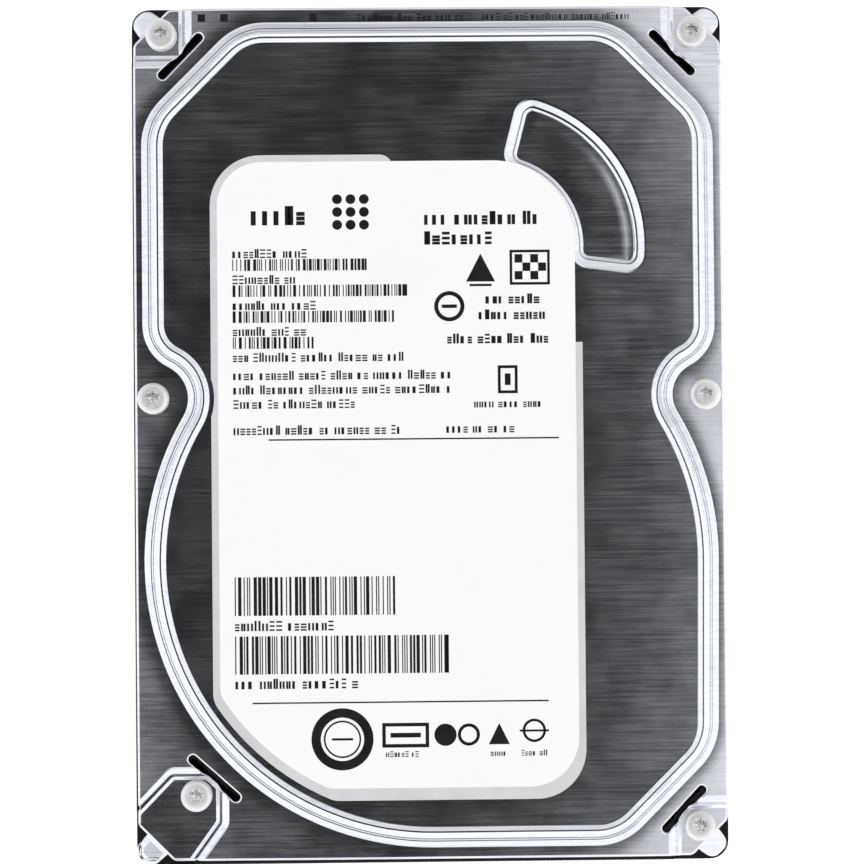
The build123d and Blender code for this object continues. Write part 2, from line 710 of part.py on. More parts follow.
stop_turn = coil_half_angle + degrees(asin(stop_r / stop_reach)) + 0.7
stop_angles = {"crash_stop_inner": coil_angle + stop_turn, "crash_stop_outer": coil_angle - swing - stop_turn}
for name, angle in stop_angles.items():
    x, y = on_circle(pivot_x, pivot_y, stop_reach, angle)
    with BuildPart() as crash_stop:
        disk_at(x, y, stop_r, lower_magnet_z, upper_plate_z)
        disk_at(x, y, stop_r - 0.3, coil_z - 0.5, coil_z, Mode.SUBTRACT)
        disk_at(x, y, 0.9, coil_z - 0.5, coil_z)
    finish(crash_stop, name)

# ======================= latch ======================================================
latch_x, latch_y = on_circle(pivot_x, pivot_y, latch_reach, latch_angle)
with BuildPart() as latch_pin:
    disk_at(latch_x, latch_y, 1.0, floor_disk, 14.2)
    disk_at(latch_x, latch_y, 1.7, floor_disk, 10.2)
finish(latch_pin, "latch_pin")

with BuildPart() as latch_lever:
    with BuildSketch(Plane.XY.offset(latch_z)):
        with Locations((latch_x, latch_y)):
            Circle(2.2)
        with Locations(Location(on_circle(latch_x, latch_y, 2.6, -52), -52)):
            Rectangle(4.0, 1.9)
        with Locations(Location(on_circle(latch_x, latch_y, 4.6, -60), -10)):
            RectangleRounded(1.2, 2.4, 0.4)
        with Locations(Location(on_circle(latch_x, latch_y, 2.8, 128), -52)):
            RectangleRounded(4.4, 3.4, 0.8)
        with Locations((latch_x, latch_y)):
            Circle(1.0 + running_gap, mode=Mode.SUBTRACT)
    extrude(amount=2.6)
finish(latch_lever, "latch_lever")

# ======================= actuator ===================================================
with BuildPart() as pivot_shaft:
    disk_at(pivot_x, pivot_y, 3.8, pivot_seat, pivot_seat + 0.5)
    disk_at(pivot_x, pivot_y, pivot_shaft_r, pivot_seat, pivot_top)
    disk_at(pivot_x, pivot_y, 1.0, pivot_top - 5, pivot_top, Mode.SUBTRACT)
finish(pivot_shaft, "pivot_shaft")

with BuildPart() as pivot_screw:
    disk_at(pivot_x, pivot_y, 2.8, pivot_top, pivot_top + 1.0)
    disk_at(pivot_x, pivot_y, 0.96, pivot_top - 4.4, pivot_top)
    with BuildSketch(Plane.XY.offset(pivot_top + 1.0)):
        six_lobe(pivot_x, pivot_y, 1.2)
    extrude(amount=-0.7, mode=Mode.SUBTRACT)
finish(pivot_screw, "pivot_screw")

with BuildPart() as pivot_sleeve:
    disk_at(pivot_x, pivot_y, pivot_sleeve_r, pivot_seat + 0.65, pivot_top - 0.3)
    disk_at(pivot_x, pivot_y, pivot_shaft_r + running_gap, 0, drive_height, Mode.SUBTRACT)
finish(pivot_sleeve, "pivot_sleeve")

plate_bottoms = (disk_mid - arm_gap / 2 - arm_thick, disk_mid + arm_gap / 2)
with BuildPart() as actuator_arm:
    disk_at(pivot_x, pivot_y, arm_hub_r, *arm_hub_z)
    for low in plate_bottoms:
        with BuildSketch(Plane.XY.offset(low)):
            with BuildLine():
                Polyline(*[on_circle(pivot_x, pivot_y, hypot(along, across),
                                     parked + degrees(atan2(across, along)))
                           for along, across in arm_plan], close=True)
            make_face()
            for along in (14.5, 21.5):
                with Locations(on_circle(pivot_x, pivot_y, along, parked)):
                    Circle(3.6 - 0.1 * along, mode=Mode.SUBTRACT)
        extrude(amount=arm_thick)
    disk_at(pivot_x, pivot_y, pivot_sleeve_r, 0, drive_height, Mode.SUBTRACT)
finish(actuator_arm, "actuator_arm")

frame_span = (coil_angle - coil_half_angle, coil_angle + coil_half_angle)
coil_span = (frame_span[0] + 3, frame_span[1] - 3)
with BuildPart() as coil_frame:
    with BuildSketch(Plane.XY.offset(coil_z)) as frame_plan:
        with BuildLine():
            sector(pivot_x, pivot_y, arm_hub_r, frame_r, *frame_span)
        make_face()
        with BuildLine():
            sector(pivot_x, pivot_y, *coil_r, *coil_span)
        make_face(mode=Mode.SUBTRACT)
    extrude(amount=coil_thick)
finish(coil_frame, "coil_frame")

with BuildPart() as voice_coil:
    with BuildSketch(Plane.XY.offset(coil_z + 0.1)) as coil_plan:
        with BuildLine():
            sector(pivot_x, pivot_y, *coil_r, *coil_span)
        make_face()
        with BuildLine():
            sector(pivot_x, pivot_y, 16.0, 22.4, coil_angle - 6.5, coil_angle + 6.5)
        make_face(mode=Mode.SUBTRACT)
    extrude(amount=coil_thick - 0.2)
finish(voice_coil, "voice_coil")

for name, side in (("upper", 1), ("lower", -1)):
    arm_face = disk_mid + side * arm_gap / 2
    with BuildPart() as suspension:
        with BuildSketch(Plane.XY.offset(min(arm_face, arm_face - side * beam_base))):
            with Locations(Location(on_circle(pivot_x, pivot_y, arm_tip - 2.5, parked), parked)):
                RectangleRounded(5.0, 4.6, 0.5)
        extrude(amount=beam_base)
        beam_face = arm_face - side * beam_base
        with BuildSketch(Plane.XY.offset(min(beam_face, beam_face - side * beam))):
            with BuildLine():
                Polyline(*[on_circle(pivot_x, pivot_y, hypot(along, across),
                                     parked + degrees(atan2(across, along)))
                           for along, across in beam_plan], close=True)
            make_face()
        extrude(amount=beam)
    finish(suspension, f"{name}_suspension")
    slider_face = beam_face - side * beam
    with BuildPart() as slider:
        with BuildSketch(Plane.XY.offset(min(slider_face, slider_face - side * slider_thick))):
            with Locations(Location(on_circle(pivot_x, pivot_y, head_reach, parked), parked)):
                Rectangle(1.25, 1.0)
        extrude(amount=slider_thick)
    finish(slider, f"{name}_slider")

with BuildPart() as preamp_chip:
    with BuildSketch(Plane.XY.offset(arm_hub_z[1])):
        with Locations(Location(on_circle(pivot_x, pivot_y, 6.6, 160), 160)):
            Rectangle(2.4, 4.0)
    extrude(amount=0.7)
finish(preamp_chip, "preamp_chip")

# ======================= head flex and its way through the floor =====================
with BuildPart() as flex_bracket:
    with BuildSketch(Plane.XY.offset(floor_coil)):
        with Locations((window_x, window_y)):
            RectangleRounded(18.0, 9.0, 1.2)
    extrude(amount=1.4)
    box_between((window_x + 4.5, window_y - 3.5, floor_coil), (window_x + 8.5, window_y + 3.5, 15.0))
finish(flex_bracket, "flex_bracket")

with BuildPart() as head_connector:
    box_between((window_x - 7.0, window_y - 2.6, board_top), (window_x + 7.0, window_y + 2.6, floor_coil))
    with Locations((window_x, window_y, board_top)):
        with GridLocations(1.2, 3.6, 10, 2):
            Box(0.5, 0.6, 1.0, mode=Mode.SUBTRACT)
finish(head_connector, "head_connector")

with BuildPart() as flex_cable:
    with BuildSketch(Plane.XY.offset(10.2)):
        with BuildLine() as flex_line:
            Polyline((window_x + 8.5, window_y - 2.0), (window_x + 10.5, window_y - 2.0))
            flex_start = (window_x + 10.5, window_y - 2.0)
            flex_end = on_circle(pivot_x, pivot_y, arm_hub_r + 0.8, 158)
            ThreePointArc(flex_start, (-2.4, 43.5), flex_end)
        flex_wire = flex_line.wire()
        trace(flex_wire, line_width=flex_thick)
    extrude(amount=3.6)
finish(flex_cable, "flex_cable")

# ======================= circuit board ==============================================
with BuildPart() as circuit_board:
    with BuildSketch(Plane.XY.offset(board_bottom)) as board_plan:
        with Locations((0, (board_low_y + board_high_y) / 2)):
            RectangleRounded(2 * board_half_x, board_high_y - board_low_y, 1.0)
        with Locations((spindle_x, spindle_y)):
            Circle(board_arc_r, mode=Mode.SUBTRACT)
        with Locations(*board_screws):
            Circle(1.3, mode=Mode.SUBTRACT)
    extrude(amount=board_top - board_bottom)
finish(circuit_board, "circuit_board")

for name, (x, y, across, along, height) in chips.items():
    with BuildPart() as chip:
        with BuildSketch(Plane.XY.offset(board_top)):
            with Locations((x, y)):
                RectangleRounded(across, along, 0.3)
        extrude(amount=height)
    finish(chip, name)

with BuildPart() as board_passives:
    for x, y in inductors:
        box_between((x - 2.4, y - 2.4, board_top), (x + 2.4, y + 2.4, board_top + 1.5))
    for x, y in capacitors:
        box_between((x - 1.6, y - 0.8, board_top), (x + 1.6, y + 0.8, board_top + 1.3))
finish(board_passives, "board_passives")

with BuildPart() as motor_connector:
    box_between((-4.6, 4.6, board_top), (4.6, 6.8, bay_roof_board))
finish(motor_connector, "motor_connector")

with BuildPart() as board_insulator:
    with BuildSketch(Plane.XY.offset(board_top + 0.05)) as foam_plan:
        with Locations((0, (3.5 + 62.5) / 2)):
            RectangleRounded(2 * board_half_x - 3, 62.5 - 3.5, 1.0)
        with Locations((spindle_x, spindle_y)):
            Circle(board_arc_r + 2.4, mode=Mode.SUBTRACT)
        with Locations(*board_screws):
            Circle(3.2, mode=Mode.SUBTRACT)
        for x, y, across, along, height in chips.values():
            with Locations((x, y)):
                Rectangle(across + 1, along + 1, mode=Mode.SUBTRACT)
        with Locations((-34.0, 22.0)):
            Rectangle(7, 15, mode=Mode.SUBTRACT)
        for x, y in capacitors:
            with Locations((x, y)):
                Rectangle(4.4, 2.8, mode=Mode.SUBTRACT)
        with Locations((window_x, window_y)):
            Rectangle(16, 7, mode=Mode.SUBTRACT)
        with Locations((0, 5.0)):
            Rectangle(11, 6, mode=Mode.SUBTRACT)
    extrude(amount=bay_roof_board - board_top - 0.1)
finish(board_insulator, "board_insulator")

with BuildPart() as board_screw_set:
    for x, y in board_screws:
        disk_at(x, y, 2.2, board_bottom - 0.8, board_bottom)
    fillet(board_screw_set.edges().group_by(Axis.Z)[0], 0.3)
    for x, y in board_screws:
        disk_at(x, y, board_hole_r - 0.05, board_bottom, board_boss_top)
    with BuildSketch(Plane.XY.offset(board_bottom - 0.8)):
        for x, y in board_screws:
            six_lobe(x, y, 0.95)
    extrude(amount=0.55, mode=Mode.SUBTRACT)
finish(board_screw_set, "board_screws")

# ======================= host connector and jumper block ============================
with BuildPart() as sata_housing:
    box_between((sata_x0, sata_y0, board_top), (sata_x1, tongue_back, sata_top))
    for low in (sata_x0, sata_x1 - 2.6):
        box_between((low, tongue_back, board_top), (low + 2.6, sata_y1, sata_top))
    box_between((sata_x0, tongue_back, board_top), (sata_x1, sata_y1 - 0.6, board_top + 0.7))
    for x0, x1, key_x in sata_tongues:
        box_between((x0, tongue_back, tongue_z[0]), (x1, tongue_front, tongue_z[1]))
        box_between((key_x, tongue_back, tongue_z[0]), (key_x + 1.1, tongue_front, tongue_z[1] + 1.2))
    chamfer(sata_housing.edges().group_by(Axis.Y)[-1], 0.25)
finish(sata_housing, "sata_housing")

with BuildPart() as sata_contacts:
    for first_x, count in sata_rows:
        for index in range(count):
            x = first_x + 1.27 * index
            face = tongue_z[0]
            box_between((x - 0.3, tongue_back, face - 0.25), (x + 0.3, tongue_front - 0.5, face))
finish(sata_contacts, "sata_contacts")

with BuildPart() as jumper_block:
    box_between((jumper_x0, sata_y0, board_top), (jumper_x1, 67.4, sata_top))
    box_between((jumper_x0, 67.4, board_top), (jumper_x1, sata_y1 - 0.6, board_top + 0.7))
finish(jumper_block, "jumper_block")

with BuildPart() as jumper_pins:
    for x, z in jumper_grid:
        box_between((x - 0.32, 67.4, z - 0.32), (x + 0.32, sata_y1 - 0.8, z + 0.32))
finish(jumper_pins, "jumper_pins")
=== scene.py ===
import json
import random
from math import asin, atan2, ceil, cos, hypot, pi, radians, sin, tan

import bpy
import numpy as np
from mathutils.geometry import delaunay_2d_cdt
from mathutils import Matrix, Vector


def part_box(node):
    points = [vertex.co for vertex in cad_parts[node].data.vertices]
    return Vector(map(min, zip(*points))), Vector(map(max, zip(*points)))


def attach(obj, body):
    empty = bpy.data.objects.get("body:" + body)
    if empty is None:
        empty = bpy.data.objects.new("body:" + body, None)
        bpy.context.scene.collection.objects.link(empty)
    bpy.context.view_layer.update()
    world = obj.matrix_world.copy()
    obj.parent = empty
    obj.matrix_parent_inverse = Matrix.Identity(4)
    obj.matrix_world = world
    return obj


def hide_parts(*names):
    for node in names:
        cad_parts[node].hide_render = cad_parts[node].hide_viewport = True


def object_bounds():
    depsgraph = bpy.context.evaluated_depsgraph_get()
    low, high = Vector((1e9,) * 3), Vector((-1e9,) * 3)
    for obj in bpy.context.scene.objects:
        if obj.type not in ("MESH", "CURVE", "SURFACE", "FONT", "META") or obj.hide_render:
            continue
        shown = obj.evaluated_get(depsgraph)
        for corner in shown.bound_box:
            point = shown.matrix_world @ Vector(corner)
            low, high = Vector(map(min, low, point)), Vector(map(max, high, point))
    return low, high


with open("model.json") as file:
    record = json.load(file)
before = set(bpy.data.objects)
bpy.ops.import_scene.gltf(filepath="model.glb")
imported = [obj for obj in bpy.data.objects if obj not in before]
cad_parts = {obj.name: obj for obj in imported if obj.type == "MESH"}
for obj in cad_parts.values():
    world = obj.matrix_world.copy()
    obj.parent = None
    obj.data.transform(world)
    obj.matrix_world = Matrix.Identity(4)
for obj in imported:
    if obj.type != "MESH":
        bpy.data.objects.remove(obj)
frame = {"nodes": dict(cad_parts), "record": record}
cad_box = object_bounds()

# Hard disk drive, cover up. Plans and heights are in millimetres, as on a drawing, and
# every mesh is made in metres with MM. +Y is the connector end, +X is right.
MM = 0.001

# ---- heights ----------------------------------------------------------------------
head_height = 1.2
flange_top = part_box("cover_screw_3")[1].z / MM - head_height
pocket_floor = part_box("cover_screw_1")[1].z / MM - head_height
plateau_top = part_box("label_backing")[0].z / MM
crest_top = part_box("top_cover")[1].z / MM
paper_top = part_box("label_sheet")[1].z / MM
tongue_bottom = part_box("top_cover")[0].z / MM
board_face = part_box("circuit_board")[0].z / MM
sheet = 0.8
ledge = flange_top + 0.5

# ---- plan of the cover ------------------------------------------------------------
spindle_x, spindle_y = 0.0, -21.5
rim_side, rim_top, rim_bottom = 47.1, 68.9, -68.8
rim_disk_x, rim_disk_y, rim_disk_r = 0.2, -21.6, 47.2
rim_corner_r, rim_ess_r = 9.0, 6.0
top_chamfer_sum, foot_chamfer_sum = 100.6, 100.6
waist_x, waist_y = 47.4, 6.4
cover_left, cover_right, cover_top_y, cover_foot_y = -50.5, 50.7, 73.45, -72.8
corner_cut, corner_r = 6.1, 1.5
pocket_x, pocket_top_y, pocket_foot_y, pocket_r = 42.2, 65.0, -64.3, 1.0
heel_pocket = [
    (-38.7, -58.5), (-44.5, -58.5), (-50.5, -64.7), (-50.5, -72.7),
    (-41.4, -72.7), (-36.7, -66.2), (-36.7, -60.3),
]
# recess over the voice-coil magnets: centre, inner and outer radius, end angles, corner radius
kidney_x, kidney_y = 11.1, 32.2
kidney_in, kidney_out, kidney_from, kidney_to, kidney_r = 15.4, 24.3, -7.0, 75.5, 1.2
# its floor rises a little outward, less near its ends, and rolls down before its outer side
kidney_tilt, kidney_ease = 0.011, 5.0
roll_from, roll_to, roll_curve = 21.8, 23.4, 0.0145
roll_fades, roll_ends = 30, 70
slots = [
    ((-39.2, 68.5), (-45.5, 62.0)), ((45.5, 62.2), (39.1, 68.6)),
    ((40.0, -68.1), (46.2, -61.5)), ((-41.1, -55.4), (-33.7, -62.0)),
]
slot_wide, slot_neck, slot_over, slot_corner_r = 1.40, 1.02, 0.62, 0.64
slot_waist_from, slot_waist_full = 0.26, 0.40
tongue_length, tongue_root, tongue_tip, tongue_r, tongue_inset = 6.2, 5.2, 4.3, 2.0, 2.95
half_width, half_length = 50.8, 73.5
cover_screws = [
    (-45.7, 69.0), (45.7, 69.0), (-waist_x, waist_y), (waist_x, waist_y), (-40.5, -61.7), (45.8, -67.6),
]

# ---- sections of the cover's outer face ----------------------------------------------
# (distance outward from an outline, value), where the value is a height for the rim, a share
# of the depth for a pocket, and a fall for the others
rim_section = [
    (-1.72, plateau_top), (-1.56, plateau_top + 0.03), (-1.00, crest_top - 0.05), (-0.88, crest_top),
    (-0.60, crest_top), (-0.50, crest_top - 0.07), (-0.12, ledge + 0.38), (0.16, ledge + 0.15),
    (0.36, ledge + 0.04), (0.45, ledge), (0.56, ledge), (0.68, ledge + 0.05), (0.80, ledge),
    (1.00, ledge - 0.005), (1.12, ledge - 0.06), (1.74, flange_top + 0.05), (2.05, flange_top),
]
flange_rows = (2.6, 3.3, 4.2, 5.4, 6.8)
# the flange curves down as far as its bend, and then slopes evenly as far as its reach
flange_curve, flange_bend, flange_slope, flange_reach = 0.0075, 2.3, 0.038, 16.0
# share of the flange's fall that each pocket does without
pocket_levelling = (0.2, 0.2, 0.2, 0.5)
pocket_section = [
    (-0.46, 1.00), (-0.34, 0.96), (0.00, 0.62), (0.12, 0.56),
    (0.62, 0.54), (0.80, 0.49), (1.48, 0.06), (1.80, 0.00),
]
kidney_section = [
    (-0.14, 0.65), (-0.04, 0.63), (0.26, 0.42), (0.36, 0.38),
    (0.60, 0.37), (0.76, 0.34), (1.70, 0.04), (2.05, 0.00),
]
edge_section = [(-0.36, 0.0), (-0.14, 0.03), (0.0, 0.12), (0.5, 0.22), (3.4, 0.42)]
tongue_section = [(-1.1, 0.0), (-0.5, 0.05), (-0.15, 0.16), (0.0, 0.28)]
slot_section = [(-0.06, 0.34), (0.10, 0.10), (0.20, 0.03), (0.32, 0.0)]
edge_rows = (0.0, 1.5, 2.5)
tongue_blend, pocket_fade = 0.3, 0.5
# every corner of a section is rounded over a strip of twice this width
corner_half = 0.025

# ---- cover screw -------------------------------------------------------------------
# (inset from the head's side, fall from its top)
head_section = [
    (0.00, 0.50), (0.05, 0.32), (0.17, 0.18), (0.36, 0.09), (0.62, 0.04), (0.80, 0.00), (1.25, 0.00),
    (1.41, 0.00),
]
# (size, fall) of the recess, six-lobed and then round
lobe_section = [(1.12, 0.02), (1.02, 0.12), (0.90, 0.50)]
pit_section = [(0.44, 0.58), (0.16, 0.80)]
head_r, head_sunk, foot_inset, foot_rise = 2.65, 0.3, 0.12, 0.10
recess_r, lobe_core, lobe_power = 1.0, 0.60, 0.9


# =================== outlines wrapped round pulleys ==================================
def belt_arcs(pulleys, growth=0.0):
    """Arcs (x, y, signed radius, first heading, turn) of the closed outline wrapped anticlockwise
    round pulleys (x, y, signed radius) and grown outward. Straight runs join one arc to the next."""
    grown = [(x, y, s + growth) for x, y, s in pulleys]
    headings = []
    for (x0, y0, s0), (x1, y1, s1) in zip(grown, grown[1:] + grown[:1]):
        lean = max(-1.0, min(1.0, (s0 - s1) / hypot(x1 - x0, y1 - y0)))
        headings.append(atan2(y1 - y0, x1 - x0) + asin(lean))
    arcs = []
    for index, (x, y, s) in enumerate(grown):
        arrive = headings[index - 1]
        arcs.append((x, y, s, arrive, (headings[index] - arrive + pi) % (2 * pi) - pi))
    return arcs


def on_arc(arc, share):
    """Point a share of the way round an arc."""
    x, y, s, arrive, turn = arc
    heading = arrive + share * turn
    return (x + s * sin(heading), y - s * cos(heading))


def belt_points(pulleys, growth=0.0):
    """Points of the grown outline, close enough together to look round."""
    widest, narrowest, chord, least_r = radians(12), radians(2.5), 0.9, 0.3
    points = []
    for arc, (_, _, radius) in zip(belt_arcs(pulleys, growth), pulleys):
        step = min(widest, max(narrowest, chord / max(abs(radius), least_r)))
        count = max(1, ceil(abs(arc[4]) / step))
        points += [on_arc(arc, k / count) for k in range(count + 1)]
    return points


def belt_distance(pulleys, x, y):
    """Distance of points from an outline, positive outside it."""
    far, no_run, no_turn = 1e9, 1e-4, 1e-6
    arcs = belt_arcs(pulleys)
    best = np.full(np.shape(x), far)
    for last, arc in zip(arcs[-1:] + arcs[:-1], arcs):
        (x0, y0), (x1, y1) = on_arc(last, 1), on_arc(arc, 0)
        run = hypot(x1 - x0, y1 - y0)
        if run > no_run:
            dx, dy = (x1 - x0) / run, (y1 - y0) / run
            along = np.clip((x - x0) * dx + (y - y0) * dy, 0, run)
            size = np.hypot(x - x0 - along * dx, y - y0 - along * dy)
            signed = np.where((x - x0) * dy > (y - y0) * dx, size, -size)
            best = np.where(size < np.abs(best), signed, best)
        cx, cy, s, arrive, turn = arc
        side = 1 if s > 0 else -1
        heading = np.arctan2(side * (x - cx), -side * (y - cy))
        way = 1 if turn > 0 else -1
        turned = (way * (heading - arrive) + no_turn) % (2 * pi)
        signed = side * (np.hypot(x - cx, y - cy) - abs(s))
        near = (turned <= abs(turn) + 2 * no_turn) & (np.abs(signed) < np.abs(best))
        best = np.where(near, signed, best)
    return best


def rounded(points, radius):
    """Pulleys of an anticlockwise polygon with every corner rounded."""
    pulleys = []
    for (xa, ya), (x, y), (xb, yb) in zip(points[-1:] + points[:-1], points, points[1:] + points[:1]):
        la, lb = hypot(x - xa, y - ya), hypot(xb - x, yb - y)
        ux, uy, vx, vy = (x - xa) / la, (y - ya) / la, (xb - x) / lb, (yb - y) / lb
        s = radius if ux * vy - uy * vx > 0 else -radius
        reach = s / (1 + ux * vx + uy * vy)
        pulleys.append((x - reach * (uy + vy), y + reach * (ux + vx), s))
    return pulleys


def on_circle(x, y, reach, angle):
    """Point at a distance and an angle (degrees) from a centre."""
    return (x + reach * cos(radians(angle)), y + reach * sin(radians(angle)))


def rim_pulleys():
    """Outline of the raised rim, wrapped round the disk, three cut corners and the two waist screws."""
    ess_x = rim_side - rim_ess_r
    waist_r, ess_y = {}, {}
    for hand in (-1, 1):
        waist_r[hand] = hypot(waist_x - hand * rim_disk_x, waist_y - rim_disk_y) - rim_disk_r
        ess_y[hand] = waist_y + ((waist_r[hand] + rim_ess_r) ** 2 - (waist_x - ess_x) ** 2) ** 0.5
    inset = rim_corner_r * 2**0.5
    top_sum, foot_sum = top_chamfer_sum - inset, foot_chamfer_sum - inset
    side, top, foot = rim_side - rim_corner_r, rim_top - rim_corner_r, rim_bottom + rim_corner_r
    return [
        (foot_sum + foot, foot, rim_corner_r),
        (side, side - foot_sum, rim_corner_r),
        (rim_disk_x, rim_disk_y, rim_disk_r),
        (waist_x, waist_y, -waist_r[1]),
        (ess_x, ess_y[1], rim_ess_r),
        (side, top_sum - side, rim_corner_r),
        (top_sum - top, top, rim_corner_r),
        (top - top_sum, top, rim_corner_r),
        (-side, top_sum - side, rim_corner_r),
        (-ess_x, ess_y[-1], rim_ess_r),
        (-waist_x, waist_y, -waist_r[-1]),
        (rim_disk_x, rim_disk_y, rim_disk_r),
    ]


def kidney_pulleys():
    """Outline of the recess over the voice-coil magnets: a ring sector with rounded corners."""
    outer, inner = kidney_out - kidney_r, kidney_in + kidney_r
    lean_out, lean_in = asin(kidney_r / outer) * 180 / pi, asin(kidney_r / inner) * 180 / pi
    return [
        (*on_circle(kidney_x, kidney_y, outer, kidney_from + lean_out), kidney_r),
        (kidney_x, kidney_y, kidney_out),
        (*on_circle(kidney_x, kidney_y, outer, kidney_to - lean_out), kidney_r),
        (*on_circle(kidney_x, kidney_y, inner, kidney_to - lean_in), kidney_r),
        (kidney_x, kidney_y, -kidney_in),
        (*on_circle(kidney_x, kidney_y, inner, kidney_from + lean_in), kidney_r),
    ]


def slot_pulleys(start, end):
    """Relief slot: straight along its left side from start to end, waisted on its right side."""
    length = hypot(end[0] - start[0], end[1] - start[1])
    dx, dy = (end[0] - start[0]) / length, (end[1] - start[1]) / length
    half = slot_wide / 2
    neck = slot_neck - half
    low, high = -slot_over, length + slot_over
    plan = [
        (low, -half), (slot_waist_from * length, -half), (slot_waist_full * length, -neck),
        ((1 - slot_waist_full) * length, -neck), ((1 - slot_waist_from) * length, -half),
        (high, -half), (high, half), (low, half),
    ]
    corners = [(start[0] + t * dx - w * dy, start[1] + t * dy + w * dx) for t, w in plan]
    return rounded(corners, slot_corner_r)


def tongue_pulleys(side, reach):
    """Tab that runs out to one corner of the casting."""
    x, y = side * (half_width - tongue_inset), reach * (half_length - tongue_inset)
    long, root, tip = tongue_length / 2, tongue_root / 2, tongue_tip / 2
    turn = atan2(reach, side)
    c, s = cos(turn), sin(turn)
    plan = [(-long, -root), (long, -tip), (long, tip), (-long, root)]
    return rounded([(x + a * c - b * s, y + a * s + b * c) for a, b in plan], tongue_r)


def corner_box(side, edge_y):
    """Pocket in one corner, open to the cover's outside."""
    past_x, past_y = 56.0, 80.0
    left, right = sorted((side * pocket_x, side * past_x))
    low, high = sorted((edge_y, past_y if edge_y > 0 else -past_y))
    return rounded([(left, low), (right, low), (right, high), (left, high)], pocket_r)


def outline_pulleys():
    """Edge of the cover, a rectangle with its corners cut."""
    left, right, top, foot, cut = cover_left, cover_right, cover_top_y, cover_foot_y, corner_cut
    return rounded([
        (left + cut, foot), (right - cut, foot), (right, foot + cut), (right, top - cut),
        (right - cut, top), (left + cut, top), (left, top - cut), (left, foot + cut),
    ], corner_r)


rim = rim_pulleys()
kidney = kidney_pulleys()
outline = outline_pulleys()
slot_belts = [slot_pulleys(start, end) for start, end in slots]
tongues = [tongue_pulleys(side, reach) for side, reach in ((-1, 1), (1, 1), (1, -1), (-1, -1))]
pockets = [
    corner_box(-1, pocket_top_y), corner_box(1, pocket_top_y), corner_box(1, pocket_foot_y),
    rounded(heel_pocket, pocket_r),
]


# =================== meshes =========================================================
def section(profile, distance):
    """Value of a section at distances from its outline."""
    return np.interp(distance, [p[0] for p in profile], [p[1] for p in profile])


def pocket_depths(x, y):
    """Share of the full depth in the corner pockets, each ended by its slot, and their levelling."""
    deepest, levelling = np.zeros_like(x), np.zeros_like(x)
    for pocket, (start, end), level in zip(pockets, slots, pocket_levelling):
        length = hypot(end[0] - start[0], end[1] - start[1])
        dx, dy = (end[0] - start[0]) / length, (end[1] - start[1]) / length
        left_of_slot = dx * (y - start[1]) - dy * (x - start[0])
        past_slot = np.clip(0.5 - left_of_slot / pocket_fade, 0, 1)
        share = section(pocket_section, belt_distance(pocket, x, y)) * past_slot
        deepest, levelling = np.maximum(deepest, share), np.maximum(levelling, level * share)
    return deepest, levelling


def cover_top(x, y):
    """Height of the cover's outer face."""
    rim_gap = belt_distance(rim, x, y)
    height = section(rim_section, rim_gap)
    depth, levelling = pocket_depths(x, y)
    out = np.clip(rim_gap - rim_section[-1][0], 0, flange_reach)
    past_bend = flange_curve * flange_bend**2 + flange_slope * (out - flange_bend)
    bowed = np.where(out < flange_bend, flange_curve * out**2, past_bend)
    height = height - bowed * (1 - levelling) - (flange_top - pocket_floor) * depth
    in_kidney = belt_distance(kidney, x, y)
    height = height - section(kidney_section, in_kidney)
    reach = np.hypot(x - kidney_x, y - kidney_y)
    angle = np.degrees(np.arctan2(y - kidney_y, x - kidney_x))
    fading = np.interp(angle, [roll_fades, roll_ends], [1, 0])
    rolled = np.clip(reach - roll_from, 0, roll_to - roll_from) * fading
    ease_angles = [kidney_from, kidney_from + kidney_ease, kidney_to - kidney_ease, kidney_to]
    eased = np.interp(angle, ease_angles, [0, 1, 1, 0])
    tilted = kidney_tilt * np.clip(reach - kidney_in, 0, roll_from - kidney_in) * eased
    height = height + np.where(in_kidney < 0, tilted - roll_curve * rolled**2, 0)
    past_edge = belt_distance(outline, x, y)
    height = height - section(edge_section, past_edge)
    on_tongue = np.clip(past_edge / tongue_blend, 0, 1)
    inside = np.min([belt_distance(t, x, y) for t in tongues], axis=0)
    height = height - on_tongue * section(tongue_section, inside)
    for slot in slot_belts:
        height = height - section(slot_section, belt_distance(slot, x, y))
    return height


def cover_under(x, y):
    """Height of the cover's inner face."""
    height = section(rim_section, belt_distance(rim, x, y)) - sheet
    height = height - (flange_top - pocket_floor) * pocket_depths(x, y)[0]
    height = height - section(kidney_section, belt_distance(kidney, x, y))
    return np.maximum(height, tongue_bottom)


def slopes(surface, x, y, reach=0.02):
    """Unit normals of a height function, facing up."""
    rise_x = (surface(x + reach, y) - surface(x - reach, y)) / (2 * reach)
    rise_y = (surface(x, y + reach) - surface(x, y - reach)) / (2 * reach)
    normals = np.stack([-rise_x, -rise_y, np.ones_like(rise_x)], axis=1)
    return normals / np.linalg.norm(normals, axis=1)[:, None]


def add_object(name, points, faces, material):
    """Mesh object from points in millimetres, which rides on the chassis."""
    mesh = bpy.data.meshes.new(name)
    mesh.from_pydata([(x * MM, y * MM, z * MM) for x, y, z in points], [], faces)
    mesh.materials.append(material)
    piece = bpy.data.objects.new(name, mesh)
    bpy.context.scene.collection.objects.link(piece)
    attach(piece, "chassis")
    return piece


def lines_of(profile):
    """Distances of the rows just before and just after every corner of a section."""
    return [p[0] + side * corner_half for p in profile for side in (-1, 1)]


